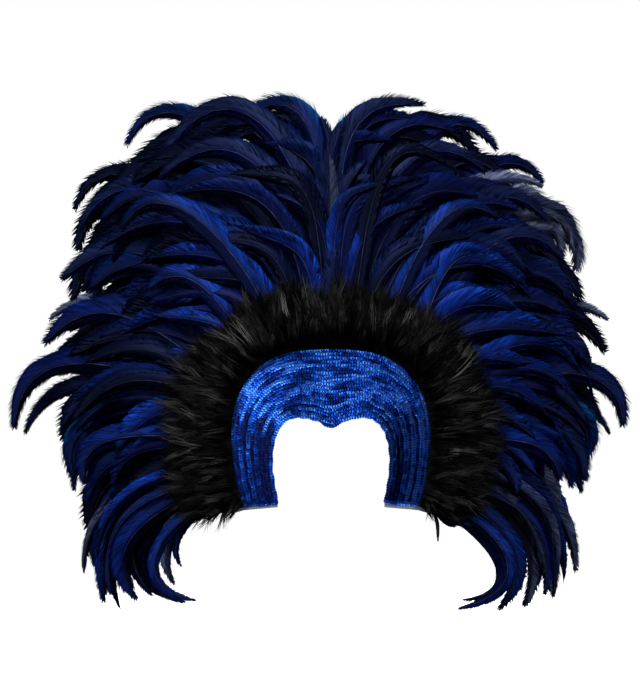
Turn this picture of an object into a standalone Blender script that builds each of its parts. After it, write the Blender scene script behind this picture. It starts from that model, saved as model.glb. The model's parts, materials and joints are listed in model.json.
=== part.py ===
"""Showgirl feather headdress, in metres, +Z up, its front facing -Y.

A sequined horseshoe band frames the face. A fur collar runs round its outer edge, and five
rings of long curved cock feathers, each sewn to its own tape, fan out behind the fur.
The origin lies on the back of the band, in the middle of the forehead.
"""
import math

import bmesh
import bpy
import numpy as np
from mathutils import Vector

# Band, seen from the front
BAND_HALF_WIDTH = 0.1236
BAND_RISE = 0.0884
LEG_DROP = 0.107
FACE_HALF_WIDTH = 0.073
LOBE_RISE = 0.0035
FLANGE_WIDTH = 0.012
HEM_DROP = 0.005

# Band, front to back
HEAD_RADIUS = 0.2
SWEEP_BACK = 0.4
CROWN_LEAN = 0.22
CROWN_LEAN_BLEND = 0.03
BUCKRAM_THICKNESS = 0.002
FACING_THICKNESS = 0.0013
RIB_HEIGHT = 0.0007

# Fur collar
FUR_ROOT_INSET = 0.001
FUR_CORE_WIDTH = 0.062
FUR_CORE_HEIGHT = 0.02
FUR_LOCK_REACH = 0.09
FUR_LOCK_WIDTH = 0.019
FUR_LOCK_THICKNESS = 0.008
FUR_SLOPE = 0.15

# Feather rings
FAN_HALF_WIDTH = 0.3975
FAN_RISE = 0.40875
FAN_DROP = 0.236
FEATHER_WIDTH = 0.028
FEATHER_THICKNESS = 0.0014
TAPE_WIDTH = 0.008
TAPE_THICKNESS = 0.004
LEAN_BLEND = 0.012
LAYER_STEP = 0.0022
LAYER_RAMP = 0.04
ROLL_RISE = 0.0008
CENTRE_CLEARANCE = 0.0006

CLEARANCE = 0.0003
BAND_STATIONS = 30
BAND_RIBS = 3
CURVE_STEPS = 12

# Half of the band, from the middle of the forehead to the end of a leg.
# Columns: outer_x of BAND_HALF_WIDTH, outer_z of BAND_RISE or LEG_DROP,
# inner_x of FACE_HALF_WIDTH, inner_z of LOBE_RISE or LEG_DROP.
BAND_OUTLINE = [
    (0.000, 1.000, 0.000, -0.089),
    (0.283, 0.980, 0.192, -0.019),
    (0.502, 0.916, 0.384, 0.571),
    (0.696, 0.769, 0.575, 1.000),
    (0.845, 0.560, 0.740, 0.000),
    (0.934, 0.328, 0.863, -0.084),
    (0.983, 0.068, 0.945, -0.196),
    (1.000, -0.187, 0.993, -0.355),
    (0.979, -0.486, 1.000, -0.561),
    (0.934, -0.785, 0.959, -0.766),
    (0.878, -1.000, 0.904, -0.963),
]

# How each ring of feathers leans away from the band, in degrees, front ring first.
RING_LEAN = [-5.0, 1.0, 7.0, 13.0, 19.0]

# The angle at which a feather leaves the tape, in degrees from straight up and outwards.
LEAVE_SHARE = [0.0, 0.1, 0.2, 0.3, 0.4, 0.5, 0.6, 0.7, 0.8, 0.9, 1.0]
LEAVE_ANGLE = [2.0, 6.0, 12.0, 22.0, 36.0, 52.0, 70.0, 84.0, 96.0, 106.0, 118.0]

# The charted feathers of each side, one row each.
# Columns: share along the tape from the middle, tip_x of FAN_HALF_WIDTH,
# tip_z of FAN_RISE or FAN_DROP, arrival angle in degrees from straight up and outwards,
# stiffness at the root and at the tip as shares of the root to tip distance,
# width of FEATHER_WIDTH, ring.
LEFT_FEATHERS = [
    (0.01, 0.120, 0.760, 50, 0.45, 0.35, 0.90, 2),
    (0.02, 0.540, 0.790, 151, 0.98, 0.55, 1.00, 3),
    (0.04, 0.330, 0.900, 105, 0.60, 0.40, 0.95, 4),
    (0.06, 0.545, 0.735, 135, 0.70, 0.50, 1.00, 2),
    (0.10, 0.650, 0.835, 155, 0.62, 0.35, 0.95, 5),
    (0.20, 0.815, 0.650, 165, 0.50, 0.45, 1.00, 5),
    (0.25, 0.800, 0.580, 155, 0.60, 0.48, 1.10, 4),
    (0.29, 0.660, 0.580, 165, 0.60, 0.45, 1.00, 1),
    (0.36, 0.855, 0.425, 135, 0.55, 0.45, 1.05, 3),
    (0.39, 0.570, 0.400, 130, 0.55, 0.45, 0.95, 1),
    (0.43, 0.895, 0.305, 135, 0.40, 0.35, 0.80, 5),
    (0.49, 0.905, 0.230, 140, 0.50, 0.45, 1.10, 2),
    (0.57, 1.000, -0.055, 178, 0.50, 0.42, 1.05, 3),
    (0.60, 0.970, -0.085, 160, 0.45, 0.35, 0.60, 5),
    (0.64, 0.810, -0.305, 200, 0.62, 0.40, 1.05, 4),
    (0.67, 0.810, -0.385, 185, 0.50, 0.45, 0.80, 5),
    (0.71, 0.775, -0.330, 190, 0.50, 0.40, 0.95, 1),
    (0.75, 0.765, -0.425, 165, 0.45, 0.40, 0.95, 2),
    (0.80, 0.780, -0.820, 182, 0.50, 0.40, 0.85, 4),
    (0.85, 0.715, -0.970, 185, 0.50, 0.50, 0.85, 3),
    (0.89, 0.605, -0.950, 225, 0.55, 0.45, 0.80, 2),
    (0.92, 0.540, -0.870, 205, 0.45, 0.40, 0.65, 5),
    (0.94, 0.420, -0.950, 262, 0.50, 0.55, 0.55, 1),
    (0.96, 0.490, -0.870, 212, 0.45, 0.40, 0.55, 4),
    (0.98, 0.470, -0.770, 215, 0.40, 0.35, 0.45, 3),
    (1.00, 0.480, -0.670, 195, 0.40, 0.35, 0.40, 2),
]
RIGHT_FEATHERS = [
    (0.01, 0.110, 0.790, 45, 0.45, 0.35, 0.90, 2),
    (0.02, 0.300, 0.965, 98, 0.62, 0.42, 1.00, 3),
    (0.04, 0.400, 0.880, 115, 0.60, 0.42, 0.95, 4),
    (0.06, 0.490, 0.755, 135, 0.62, 0.45, 1.00, 2),
    (0.10, 0.530, 0.830, 148, 0.62, 0.42, 0.95, 5),
    (0.17, 0.675, 0.730, 120, 0.50, 0.35, 0.95, 4),
    (0.22, 0.790, 0.455, 178, 0.40, 0.50, 1.20, 5),
    (0.26, 0.685, 0.610, 140, 0.55, 0.45, 1.05, 3),
    (0.29, 0.530, 0.615, 125, 0.60, 0.40, 1.00, 1),
    (0.34, 0.735, 0.490, 140, 0.55, 0.45, 1.05, 2),
    (0.38, 0.505, 0.485, 105, 0.55, 0.45, 0.95, 1),
    (0.42, 0.885, 0.305, 125, 0.45, 0.35, 0.80, 5),
    (0.45, 0.775, 0.235, 140, 0.50, 0.50, 1.10, 3),
    (0.48, 0.865, 0.205, 150, 0.50, 0.40, 0.90, 4),
    (0.57, 0.920, -0.040, 182, 0.48, 0.42, 1.05, 3),
    (0.60, 0.885, -0.085, 155, 0.45, 0.35, 0.60, 5),
    (0.64, 0.795, -0.220, 205, 0.60, 0.45, 1.05, 4),
    (0.67, 0.790, -0.395, 172, 0.50, 0.45, 0.80, 5),
    (0.72, 0.720, -0.320, 170, 0.50, 0.40, 0.95, 1),
    (0.80, 0.770, -0.815, 180, 0.50, 0.42, 0.85, 4),
    (0.85, 0.700, -0.945, 186, 0.50, 0.50, 0.85, 3),
    (0.89, 0.605, -0.995, 205, 0.50, 0.50, 0.80, 5),
    (0.92, 0.525, -1.000, 222, 0.50, 0.50, 0.75, 2),
    (0.95, 0.395, -0.995, 258, 0.55, 0.60, 0.55, 1),
    (0.98, 0.410, -0.950, 266, 0.50, 0.50, 0.50, 4),
]

# A filling feather stands between two charted ones and is this share of their length.
FILLER_LENGTH = 0.8
FILLER_WIDTH = 0.9
FILLER_RING_STEP = 2

# Sections of a feather from root to tip. Columns: place along it, share of its width,
# share of its thickness.
FEATHER_SECTIONS = [
    (0.00, 0.30, 1.00),
    (0.16, 0.62, 1.00),
    (0.34, 0.95, 1.00),
    (0.52, 1.00, 0.90),
    (0.70, 0.92, 0.80),
    (0.86, 0.62, 0.70),
    (1.00, 0.12, 0.60),
]

# Section of the fur's core. Columns: place across of FUR_CORE_WIDTH, height of FUR_CORE_HEIGHT.
FUR_SECTION = [
    (0.00, 0.10),
    (0.10, 0.55),
    (0.35, 1.00),
    (0.70, 0.85),
    (1.00, 0.25),
]

# Rows of fur locks. Columns: root of FUR_CORE_WIDTH, tip of FUR_LOCK_REACH,
# height of FUR_CORE_HEIGHT at the root, at the middle and at the tip, number of locks.
FUR_ROWS = [
    (0.55, 1.00, 0.40, 0.40, 0.30, 24),
    (0.30, 0.80, 0.75, 0.90, 0.95, 18),
]
LOCK_LENGTH_WAVE = 0.08
LOCK_SWAY = 0.35

COLOURS = {
    "buckram_base": ((0.32, 0.36, 0.45), 0.9),
    "sequin_field": ((0.01, 0.09, 0.5), 0.25),
    "fur_trim": ((0.012, 0.011, 0.011), 0.9),
    "coque_fringe_1": ((0.01, 0.06, 0.4), 0.45),
    "coque_fringe_2": ((0.02, 0.05, 0.25), 0.5),
    "coque_fringe_3": ((0.05, 0.06, 0.15), 0.5),
    "coque_fringe_4": ((0.01, 0.04, 0.3), 0.5),
    "coque_fringe_5": ((0.02, 0.02, 0.08), 0.5),
}


def smooth_line(points, steps):
    """A Catmull-Rom line through points, its first point mirrored across the middle plane."""
    points = np.array(points, float)
    before = points[1] * [-1.0, 1.0]
    after = 2 * points[-1] - points[-2]
    guide = np.vstack([before, points, after])
    line = []
    for a, b, c, d in zip(guide, guide[1:], guide[2:], guide[3:]):
        for t in np.arange(steps) / steps:
            line.append(b + 0.5 * t * (c - a + t * (2 * a - 5 * b + 4 * c - d + t * (3 * b - a - 3 * c + d))))
    line.append(points[-1])
    return np.array(line)


def outer_row(row):
    rise = BAND_RISE if row[1] > 0 else LEG_DROP
    return row[0] * BAND_HALF_WIDTH, row[1] * rise


def inner_row(row):
    rise = LOBE_RISE if row[3] > 0 else LEG_DROP
    return row[2] * FACE_HALF_WIDTH, row[3] * rise


OUTER_HALF = smooth_line([outer_row(row) for row in BAND_OUTLINE], CURVE_STEPS)
INNER_HALF = smooth_line([inner_row(row) for row in BAND_OUTLINE], CURVE_STEPS)


def outward(line):
    """Unit normals of a half line, pointing away from the face."""
    along = np.gradient(line, axis=0)
    along /= np.linalg.norm(along, axis=1)[:, None]
    return np.stack([-along[:, 1], along[:, 0]], axis=1)


OUTER_NORMAL = outward(OUTER_HALF)
OUTER_NORMAL[0] = (0.0, 1.0)
TAPE_HALF = OUTER_HALF + OUTER_NORMAL * (FLANGE_WIDTH - CLEARANCE)


def read_line(line, place):
    """The point at a place from -1, the left end, through 0, the middle, to 1."""
    steps = np.linspace(0.0, 1.0, len(line))
    x = np.interp(abs(place), steps, line[:, 0])
    z = np.interp(abs(place), steps, line[:, 1])
    return np.array([math.copysign(x, place), z])


def tape_root(side, share):
    """The root on the tape at a share of its length from the middle."""
    pieces = np.linalg.norm(np.diff(TAPE_HALF, axis=0), axis=1)
    length = np.concatenate([[0.0], np.cumsum(pieces)])
    x = np.interp(share * length[-1], length, TAPE_HALF[:, 0])
    z = np.interp(share * length[-1], length, TAPE_HALF[:, 1])
    return np.array([side * x, z])


def beyond_band(x, z):
    """How far a point of the front plane lies from the band's outer edge."""
    return np.hypot(OUTER_HALF[:, 0] - abs(x), OUTER_HALF[:, 1] - z).min()


def form_depth(x, z):
    """Depth of the band's back face: bowed round the head and leaning back above the brow."""
    bow_length = SWEEP_BACK ** 2 * HEAD_RADIUS
    bow = math.hypot(SWEEP_BACK * x, bow_length) - bow_length
    lean = 0.5 * CROWN_LEAN * (math.hypot(z, CROWN_LEAN_BLEND) + z - CROWN_LEAN_BLEND)
    return bow + lean


def new_object(name, bm, collection):
    bmesh.ops.recalc_face_normals(bm, faces=bm.faces)
    mesh = bpy.data.meshes.new(name)
    bm.to_mesh(mesh)
    bm.free()
    thing = bpy.data.objects.new(name, mesh)
    collection.objects.link(thing)
    return thing


def finish(thing):
    colour, roughness = COLOURS[thing.name]
    material = bpy.data.materials.new(thing.name)
    material.use_nodes = True
    shader = material.node_tree.nodes["Principled BSDF"]
    shader.inputs["Base Color"].default_value = (*colour, 1.0)
    shader.inputs["Roughness"].default_value = roughness
    thing.data.materials.append(material)
    thing.data.shade_smooth()
    thing.data.set_sharp_from_angle(angle=math.radians(50))


def wall(columns, rows, place):
    """A closed wall: a grid extruded by one, then each corner set by place(u, v, face)."""
    bm = bmesh.new()
    bmesh.ops.create_grid(bm, x_segments=columns, y_segments=rows, size=0.5)
    raised = bmesh.ops.extrude_face_region(bm, geom=bm.faces[:])["geom"]
    corners = [item for item in raised if isinstance(item, bmesh.types.BMVert)]
    bmesh.ops.translate(bm, vec=(0.0, 0.0, 1.0), verts=corners)
    for vert in bm.verts:
        vert.co = place(vert.co.x + 0.5, vert.co.y + 0.5, round(vert.co.z))
    return bm


def band_point(u, across):
    """A point of the band: across is 0 at the face and 1 at the sequins' outer edge."""
    place = 2.0 * u - 1.0
    inner = read_line(INNER_HALF, place)
    outer = read_line(OUTER_HALF, place)
    return inner + across * (outer - inner)


def flange_point(u, out):
    place = 2.0 * u - 1.0
    normal = read_line(OUTER_NORMAL, place)
    return read_line(OUTER_HALF, place) + normal * out


def buckram_base(collection):
    rows = 2 * BAND_RIBS + 1

    def place(u, v, back):
        across = v * rows / (rows - 1)
        point = band_point(u, across) if across <= 1.0 + 1e-6 else flange_point(u, FLANGE_WIDTH)
        if u < 1e-6 or u > 1.0 - 1e-6:
            point = point - [0.0, HEM_DROP]
        x, z = point
        y = form_depth(x, z) - (0.0 if back else BUCKRAM_THICKNESS)
        return Vector((x, y, z))

    return new_object("buckram_base", wall(BAND_STATIONS, rows, place), collection)


def sequin_field(collection):
    rows = 2 * BAND_RIBS

    def place(u, v, back):
        x, z = band_point(u, v)
        rib = RIB_HEIGHT * (round(v * rows) % 2)
        rise = CLEARANCE if back else CLEARANCE + FACING_THICKNESS + rib
        return Vector((x, form_depth(x, z) - BUCKRAM_THICKNESS - rise, z))

    return new_object("sequin_field", wall(BAND_STATIONS, rows, place), collection)


def loft(bm, rings):
    """Skin rings of edge, ridge, edge, ridge, with the front and back split along like diagonals."""
    skin = [[bm.verts.new(corner) for corner in ring] for ring in rings]
    for first, second in zip(skin, skin[1:]):
        for edge in (0, 2):
            for ridge in (1, 3):
                bm.faces.new((first[edge], second[ridge], first[ridge]))
                bm.faces.new((first[edge], second[edge], second[ridge]))
    bm.faces.new(skin[0])
    bm.faces.new(skin[-1])


def united(name, body, additions, collection, cutters):
    """One body made of a closed body and the closed forms that grow from it."""
    thing = new_object(name, body, collection)
    growth = new_object(name + "_growth", additions, cutters)
    growth.hide_render = True
    growth.display_type = "WIRE"
    union = thing.modifiers.new("union", "BOOLEAN")
    union.operation = "UNION"
    union.object = growth
    union.use_self = True
    return thing


def fur_depth(x, z, height):
    """Depth of the fur at a height above its back, which follows the flange, then slopes forward."""
    slope = FUR_SLOPE * max(0.0, beyond_band(x, z) - FLANGE_WIDTH)
    return form_depth(x, z) - BUCKRAM_THICKNESS - CLEARANCE - slope - height


def fur_lock(bm, share, row, index):
    root_share, tip_share, low, middle, high, count = row
    place = 2.0 * share - 1.0
    normal = read_line(OUTER_NORMAL, place)
    normal /= np.linalg.norm(normal)
    along = np.array([normal[1], -normal[0]])
    wave = math.sin(2.4 * index) + 0.6 * math.sin(5.1 * index + 1.0)
    start = root_share * FUR_CORE_WIDTH
    reach = FUR_LOCK_REACH * tip_share * (1.0 + LOCK_LENGTH_WAVE * wave)
    sway = LOCK_SWAY * math.sin(3.7 * index) * FUR_LOCK_WIDTH
    rings = []
    for part, width, height in ((0.0, 0.9, low), (0.5, 1.0, middle), (1.0, 0.12, high)):
        out = start + part * (reach - start)
        centre = read_line(OUTER_HALF, place) + normal * out + along * sway * part
        half = 0.5 * width * FUR_LOCK_WIDTH
        thick = 0.5 * FUR_LOCK_THICKNESS * min(1.0, 1.5 - part)
        lift = max(height * FUR_CORE_HEIGHT, thick)
        ring = []
        for a, b in ((-1, 0), (0, 1), (1, 0), (0, -1)):
            x, z = centre + along * half * a
            ring.append((x, fur_depth(x, z, lift + thick * b), z))
        rings.append(ring)
    loft(bm, rings)


def fur_trim(collection, cutters):
    def core_place(u, v, back):
        index = v * (len(FUR_SECTION) - 1)
        across = np.interp(index, range(len(FUR_SECTION)), [row[0] for row in FUR_SECTION])
        height = np.interp(index, range(len(FUR_SECTION)), [row[1] for row in FUR_SECTION])
        x, z = flange_point(u, FUR_ROOT_INSET + across * (FUR_CORE_WIDTH - FUR_ROOT_INSET))
        return Vector((x, fur_depth(x, z, 0.0 if back else height * FUR_CORE_HEIGHT), z))

    core = wall(BAND_STATIONS, len(FUR_SECTION) - 1, core_place)
    locks = bmesh.new()
    for row in FUR_ROWS:
        count = row[-1]
        for index in range(count):
            fur_lock(locks, (index + 0.5) / count, row, index)
    return united("fur_trim", core, locks, collection, cutters)


def heading(degrees, side):
    angle = math.radians(degrees)
    return np.array([side * math.sin(angle), math.cos(angle)])


def feather_path(side, row, count):
    """Points of a feather's shaft in the front plane, from its root to its tip."""
    share, tip_x, tip_z, arrive, root_stiff, tip_stiff = row[:6]
    root = tape_root(side, share)
    tip = np.array([side * tip_x * FAN_HALF_WIDTH, tip_z * (FAN_RISE if tip_z > 0 else FAN_DROP)])
    length = np.linalg.norm(tip - root)
    leave = np.interp(share, LEAVE_SHARE, LEAVE_ANGLE)
    first = root + root_stiff * length * heading(leave, side)
    second = tip - tip_stiff * length * heading(arrive, side)
    t = np.array(count)[:, None]
    return (1 - t) ** 3 * root + 3 * (1 - t) ** 2 * t * first + 3 * (1 - t) * t ** 2 * second + t ** 3 * tip


def ring_depth(ring, x, z):
    """Depth of the middle of a ring's feathers: behind the band at the tape, leaning beyond it."""
    tape = (ring - 0.5) * (TAPE_THICKNESS + CLEARANCE) + 0.5 * CLEARANCE
    out = max(0.0, beyond_band(x, z) - FLANGE_WIDTH)
    lean = math.tan(math.radians(RING_LEAN[ring - 1])) * (math.hypot(out, LEAN_BLEND) - LEAN_BLEND)
    return form_depth(x, z) + tape + lean


def feather(bm, side, row, layer):
    width, ring = row[6:8]
    places = [section[0] for section in FEATHER_SECTIONS]
    path = feather_path(side, row, places)
    fine = feather_path(side, row, [min(1.0, place + 0.01) for place in places])
    coarse = feather_path(side, row, [max(0.0, place - 0.01) for place in places])
    along = fine - coarse
    along /= np.linalg.norm(along, axis=1)[:, None]
    rings = []
    for centre, way, (_, broad, thick) in zip(path, along, FEATHER_SECTIONS):
        across = np.array([way[1], -way[0]]) * 0.5 * broad * width * FEATHER_WIDTH
        corners = []
        for a, b in ((-1, 0), (0, 1), (1, 0), (0, -1)):
            x, z = centre + across * a
            x = side * max(side * x, CENTRE_CLEARANCE)
            ramp = min(1.0, max(0.0, beyond_band(x, z) - FLANGE_WIDTH) / LAYER_RAMP)
            depth = ring_depth(ring, x, z) + layer * LAYER_STEP * ramp
            depth += a * ROLL_RISE * ramp + 0.5 * b * thick * FEATHER_THICKNESS
            corners.append((x, depth, z))
        rings.append(corners)
    loft(bm, rings)


def filler(first, second):
    """A shorter feather half way between two charted ones."""
    row = [0.5 * (a + b) for a, b in zip(first, second)]
    row[1] *= FILLER_LENGTH
    row[2] *= FILLER_LENGTH
    row[6] *= FILLER_WIDTH
    row[7] = (first[7] + FILLER_RING_STEP - 1) % len(RING_LEAN) + 1
    return row


def all_feathers():
    """Every feather as its side, its row and its layer in the ring."""
    found = []
    for side, rows in ((-1, LEFT_FEATHERS), (1, RIGHT_FEATHERS)):
        grown = rows + [filler(first, second) for first, second in zip(rows, rows[1:])]
        for row in sorted(grown, key=lambda row: row[0]):
            found.append((side, row))
    seen = {}
    placed = []
    for side, row in found:
        key = (side, row[7])
        layer = seen.get(key, 0) % 3 - 1
        seen[key] = seen.get(key, 0) + 1
        placed.append((side, row, layer))
    return placed


def coque_fringe(ring, feathers, collection, cutters):
    front = (ring - 1) * (TAPE_THICKNESS + CLEARANCE) + CLEARANCE

    def place(u, v, back):
        x, z = flange_point(u, FLANGE_WIDTH + (v - 0.5) * TAPE_WIDTH)
        return Vector((x, form_depth(x, z) + front + back * TAPE_THICKNESS, z))

    tape = wall(BAND_STATIONS, 1, place)
    blades = bmesh.new()
    for side, row, layer in feathers:
        if row[7] == ring:
            feather(blades, side, row, layer)
    return united("coque_fringe_%d" % ring, tape, blades, collection, cutters)


def build():
    for thing in list(bpy.data.objects):
        bpy.data.objects.remove(thing)
    collection = bpy.data.collections.new("feather_headdress")
    cutters = bpy.data.collections.new("growth_forms")
    bpy.context.scene.collection.children.link(collection)
    bpy.context.scene.collection.children.link(cutters)
    things = [
        buckram_base(collection),
        sequin_field(collection),
        fur_trim(collection, cutters),
    ]
    feathers = all_feathers()
    for ring in range(1, len(RING_LEAN) + 1):
        things.append(coque_fringe(ring, feathers, collection, cutters))
    for thing in things:
        finish(thing)


build()
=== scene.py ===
"""Showgirl feather headdress: sequined band, fur collar and five rings of curved cock feathers."""
import json
import math

import bpy
import numpy as np
from bpy.props import FloatProperty, FloatVectorProperty, IntProperty, PointerProperty
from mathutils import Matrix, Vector


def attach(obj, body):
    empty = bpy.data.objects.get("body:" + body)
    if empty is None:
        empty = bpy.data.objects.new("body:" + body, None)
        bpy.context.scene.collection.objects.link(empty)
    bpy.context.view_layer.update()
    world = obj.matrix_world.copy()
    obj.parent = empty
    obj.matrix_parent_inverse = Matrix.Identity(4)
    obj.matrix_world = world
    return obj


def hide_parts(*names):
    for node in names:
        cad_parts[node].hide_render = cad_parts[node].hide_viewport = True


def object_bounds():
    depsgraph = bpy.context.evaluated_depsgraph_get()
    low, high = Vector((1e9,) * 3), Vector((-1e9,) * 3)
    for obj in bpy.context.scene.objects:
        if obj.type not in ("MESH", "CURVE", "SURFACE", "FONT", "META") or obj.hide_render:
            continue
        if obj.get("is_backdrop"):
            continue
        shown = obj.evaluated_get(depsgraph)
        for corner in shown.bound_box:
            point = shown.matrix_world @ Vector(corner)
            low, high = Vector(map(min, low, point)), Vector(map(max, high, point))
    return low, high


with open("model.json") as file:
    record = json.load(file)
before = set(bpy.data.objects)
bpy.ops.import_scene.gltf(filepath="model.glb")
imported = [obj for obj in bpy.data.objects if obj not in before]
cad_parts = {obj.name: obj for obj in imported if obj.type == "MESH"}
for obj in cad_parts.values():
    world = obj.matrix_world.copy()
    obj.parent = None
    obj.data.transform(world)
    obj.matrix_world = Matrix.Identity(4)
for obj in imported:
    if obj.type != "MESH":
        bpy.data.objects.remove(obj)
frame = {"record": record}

bl_info = {
    "name": "Feather Headdress",
    "version": (1, 0, 0),
    "blender": (4, 5, 0),
    "location": "3D View > Sidebar > Headdress",
    "description": "Makes a sequined brow band with a fur collar and rings of curved feathers",
    "category": "Add Mesh",
}

# Half of the band, from the middle of the forehead to the end of a leg.
# Columns: outer_x of the band's half width, outer_z of its rise or leg drop,
# inner_x of the face's half width, inner_z of the lobe's rise or the leg drop.
BAND_OUTLINE = [
    (0.000, 1.000, 0.000, -0.089),
    (0.283, 0.980, 0.192, -0.019),
    (0.502, 0.916, 0.384, 0.571),
    (0.696, 0.769, 0.575, 1.000),
    (0.845, 0.560, 0.740, 0.000),
    (0.934, 0.328, 0.863, -0.084),
    (0.983, 0.068, 0.945, -0.196),
    (1.000, -0.187, 0.993, -0.355),
    (0.979, -0.486, 1.000, -0.561),
    (0.934, -0.785, 0.959, -0.766),
    (0.878, -1.000, 0.904, -0.963),
]
CURVE_STEPS = 12

# How each ring of feathers leans away from the band, in degrees, front ring first.
RING_LEAN = [-5.0, 1.0, 7.0, 13.0, 19.0]

# The angle at which a feather leaves its tape, in degrees from straight up and outwards.
# Columns: share along the tape from the middle, angle.
LEAVE_ANGLE = [
    (0.0, 2.0), (0.1, 6.0), (0.2, 12.0), (0.3, 22.0), (0.4, 36.0), (0.5, 52.0), (0.6, 70.0),
    (0.7, 84.0), (0.8, 96.0), (0.9, 106.0), (1.0, 118.0)]

# Reach of the filling feathers of each ring, as the least and most share of the charted ones.
FILLER_REACH = [(0.58, 0.86), (0.68, 0.92), (0.74, 0.94), (0.78, 0.95), (0.80, 0.96)]

# The vane's half width along a feather. Columns: place, share of its half width.
VANE_PROFILE = [
    (0.00, 0.34), (0.12, 0.72), (0.28, 0.98), (0.50, 1.00), (0.70, 0.84), (0.84, 0.60), (0.95, 0.32),
    (1.00, 0.08)]

# The same for a short filling feather, which is rounder and closed to its tip.
ROUND_PROFILE = [
    (0.00, 0.34), (0.12, 0.70), (0.30, 0.96), (0.52, 1.00), (0.72, 0.82), (0.86, 0.52), (0.95, 0.25),
    (1.00, 0.06)]

# The charted feathers of each side, one row each.
# Columns: share along the tape from the middle, tip_x and tip_z of the fan's half width
# and of its rise or drop, arrival angle in degrees from straight up and outwards,
# stiffness at the root and at the tip as shares of the root to tip distance,
# width as a share of a full feather's, ring, dye.
# The wide black feathers of the back ring are partly black feathers and partly stand in for the shade between
# the others.
LEFT_FEATHERS = [
    (0.000, 0.005, 0.810, 3, 0.40, 0.40, 0.62, 2, "mist"),
    (0.000, 0.035, 0.930, 25, 0.40, 0.30, 0.95, 3, "slate"),
    (0.005, 0.280, 0.940, 115, 0.80, 0.36, 1.15, 4, "cyan"),
    (0.015, 0.270, 0.880, 112, 0.80, 0.40, 1.50, 5, "black"),
    (0.01, 0.120, 0.760, 50, 0.45, 0.35, 0.90, 2, "slate"),
    (0.02, 0.540, 0.790, 151, 0.92, 0.53, 1.00, 3, "slate"),
    (0.04, 0.330, 0.900, 105, 0.60, 0.40, 0.95, 4, "navy"),
    (0.06, 0.545, 0.735, 135, 0.70, 0.50, 1.00, 2, "slate"),
    (0.03, 0.400, 0.830, 125, 0.80, 0.45, 1.60, 5, "black"),
    (0.05, 0.470, 0.830, 130, 0.74, 0.45, 1.40, 5, "black"),
    (0.10, 0.650, 0.840, 160, 0.64, 0.40, 1.05, 5, "cyan"),
    (0.12, 0.640, 0.730, 150, 0.68, 0.48, 1.50, 5, "black"),
    (0.14, 0.700, 0.680, 150, 0.64, 0.45, 1.30, 5, "black"),
    (0.18, 0.774, 0.581, 170, 0.60, 0.45, 1.30, 5, "black"),
    (0.20, 0.815, 0.640, 165, 0.46, 0.43, 1.00, 5, "black"),
    (0.22, 0.800, 0.514, 178, 0.60, 0.45, 1.30, 5, "black"),
    (0.24, 0.745, 0.560, 150, 0.60, 0.45, 1.30, 5, "black"),
    (0.25, 0.800, 0.580, 155, 0.60, 0.48, 1.10, 4, "slate"),
    (0.25, 0.742, 0.367, 175, 0.60, 0.45, 1.30, 4, "navy"),
    (0.27, 0.808, 0.367, 180, 0.60, 0.45, 1.30, 5, "black"),
    (0.22, 0.660, 0.580, 155, 0.45, 0.45, 0.95, 1, "royal"),
    (0.36, 0.855, 0.425, 135, 0.55, 0.45, 1.05, 3, "slate"),
    (0.34, 0.570, 0.400, 135, 0.45, 0.45, 0.95, 1, "royal"),
    (0.38, 0.780, 0.390, 160, 0.55, 0.45, 1.30, 5, "black"),
    (0.42, 0.720, 0.330, 160, 0.55, 0.45, 1.30, 4, "black"),
    (0.43, 0.895, 0.305, 135, 0.40, 0.35, 0.80, 5, "grey"),
    (0.49, 0.905, 0.230, 140, 0.50, 0.45, 1.10, 2, "navy"),
    (0.53, 0.870, 0.200, 130, 0.50, 0.40, 1.20, 4, "black"),
    (0.57, 1.000, -0.055, 178, 0.55, 0.45, 1.05, 3, "navy"),
    (0.60, 0.970, -0.085, 160, 0.48, 0.38, 0.80, 5, "slate"),
    (0.62, 0.840, -0.110, 170, 0.50, 0.40, 1.30, 5, "black"),
    (0.64, 0.810, -0.305, 200, 0.62, 0.40, 1.05, 4, "cyan"),
    (0.67, 0.810, -0.385, 185, 0.50, 0.45, 0.80, 5, "slate"),
    (0.71, 0.775, -0.330, 190, 0.50, 0.40, 0.95, 1, "navy"),
    (0.75, 0.765, -0.425, 165, 0.45, 0.40, 0.95, 2, "navy"),
    (0.77, 0.755, -0.600, 180, 0.50, 0.42, 1.30, 5, "black"),
    (0.79, 0.710, -0.730, 184, 0.50, 0.42, 1.20, 5, "black"),
    (0.80, 0.780, -0.820, 182, 0.44, 0.40, 0.60, 4, "smoke"),
    (0.81, 0.745, -0.780, 186, 0.46, 0.42, 0.85, 5, "slate"),
    (0.85, 0.715, -0.970, 185, 0.50, 0.50, 0.85, 3, "royal"),
    (0.86, 0.690, -0.930, 192, 0.50, 0.50, 0.70, 2, "slate"),
    (0.89, 0.605, -0.950, 225, 0.55, 0.45, 0.80, 2, "navy"),
    (0.87, 0.620, -0.900, 205, 0.50, 0.45, 0.65, 4, "smoke"),
    (0.88, 0.560, -0.930, 225, 0.60, 0.50, 0.60, 3, "black"),
    (0.91, 0.455, -0.965, 255, 0.68, 0.70, 0.55, 4, "slate"),
    (0.92, 0.540, -0.870, 205, 0.45, 0.40, 0.60, 5, "smoke"),
    (0.92, 0.515, -0.800, 200, 0.45, 0.40, 0.45, 3, "grey"),
    (0.93, 0.420, -0.950, 262, 0.66, 0.72, 0.50, 1, "navy"),
    (0.93, 0.490, -0.870, 212, 0.50, 0.40, 0.50, 4, "smoke"),
    (0.94, 0.470, -0.770, 215, 0.50, 0.35, 0.38, 3, "black"),
    (0.95, 0.480, -0.670, 195, 0.50, 0.35, 0.32, 2, "black"),
    (0.02, 0.330, 0.855, 115, 0.78, 0.42, 1.30, 5, "black"),
    (0.21, 0.765, 0.630, 142, 0.55, 0.45, 1.50, 5, "black"),
    (0.26, 0.775, 0.470, 165, 0.55, 0.45, 1.40, 5, "black"),
]
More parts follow.
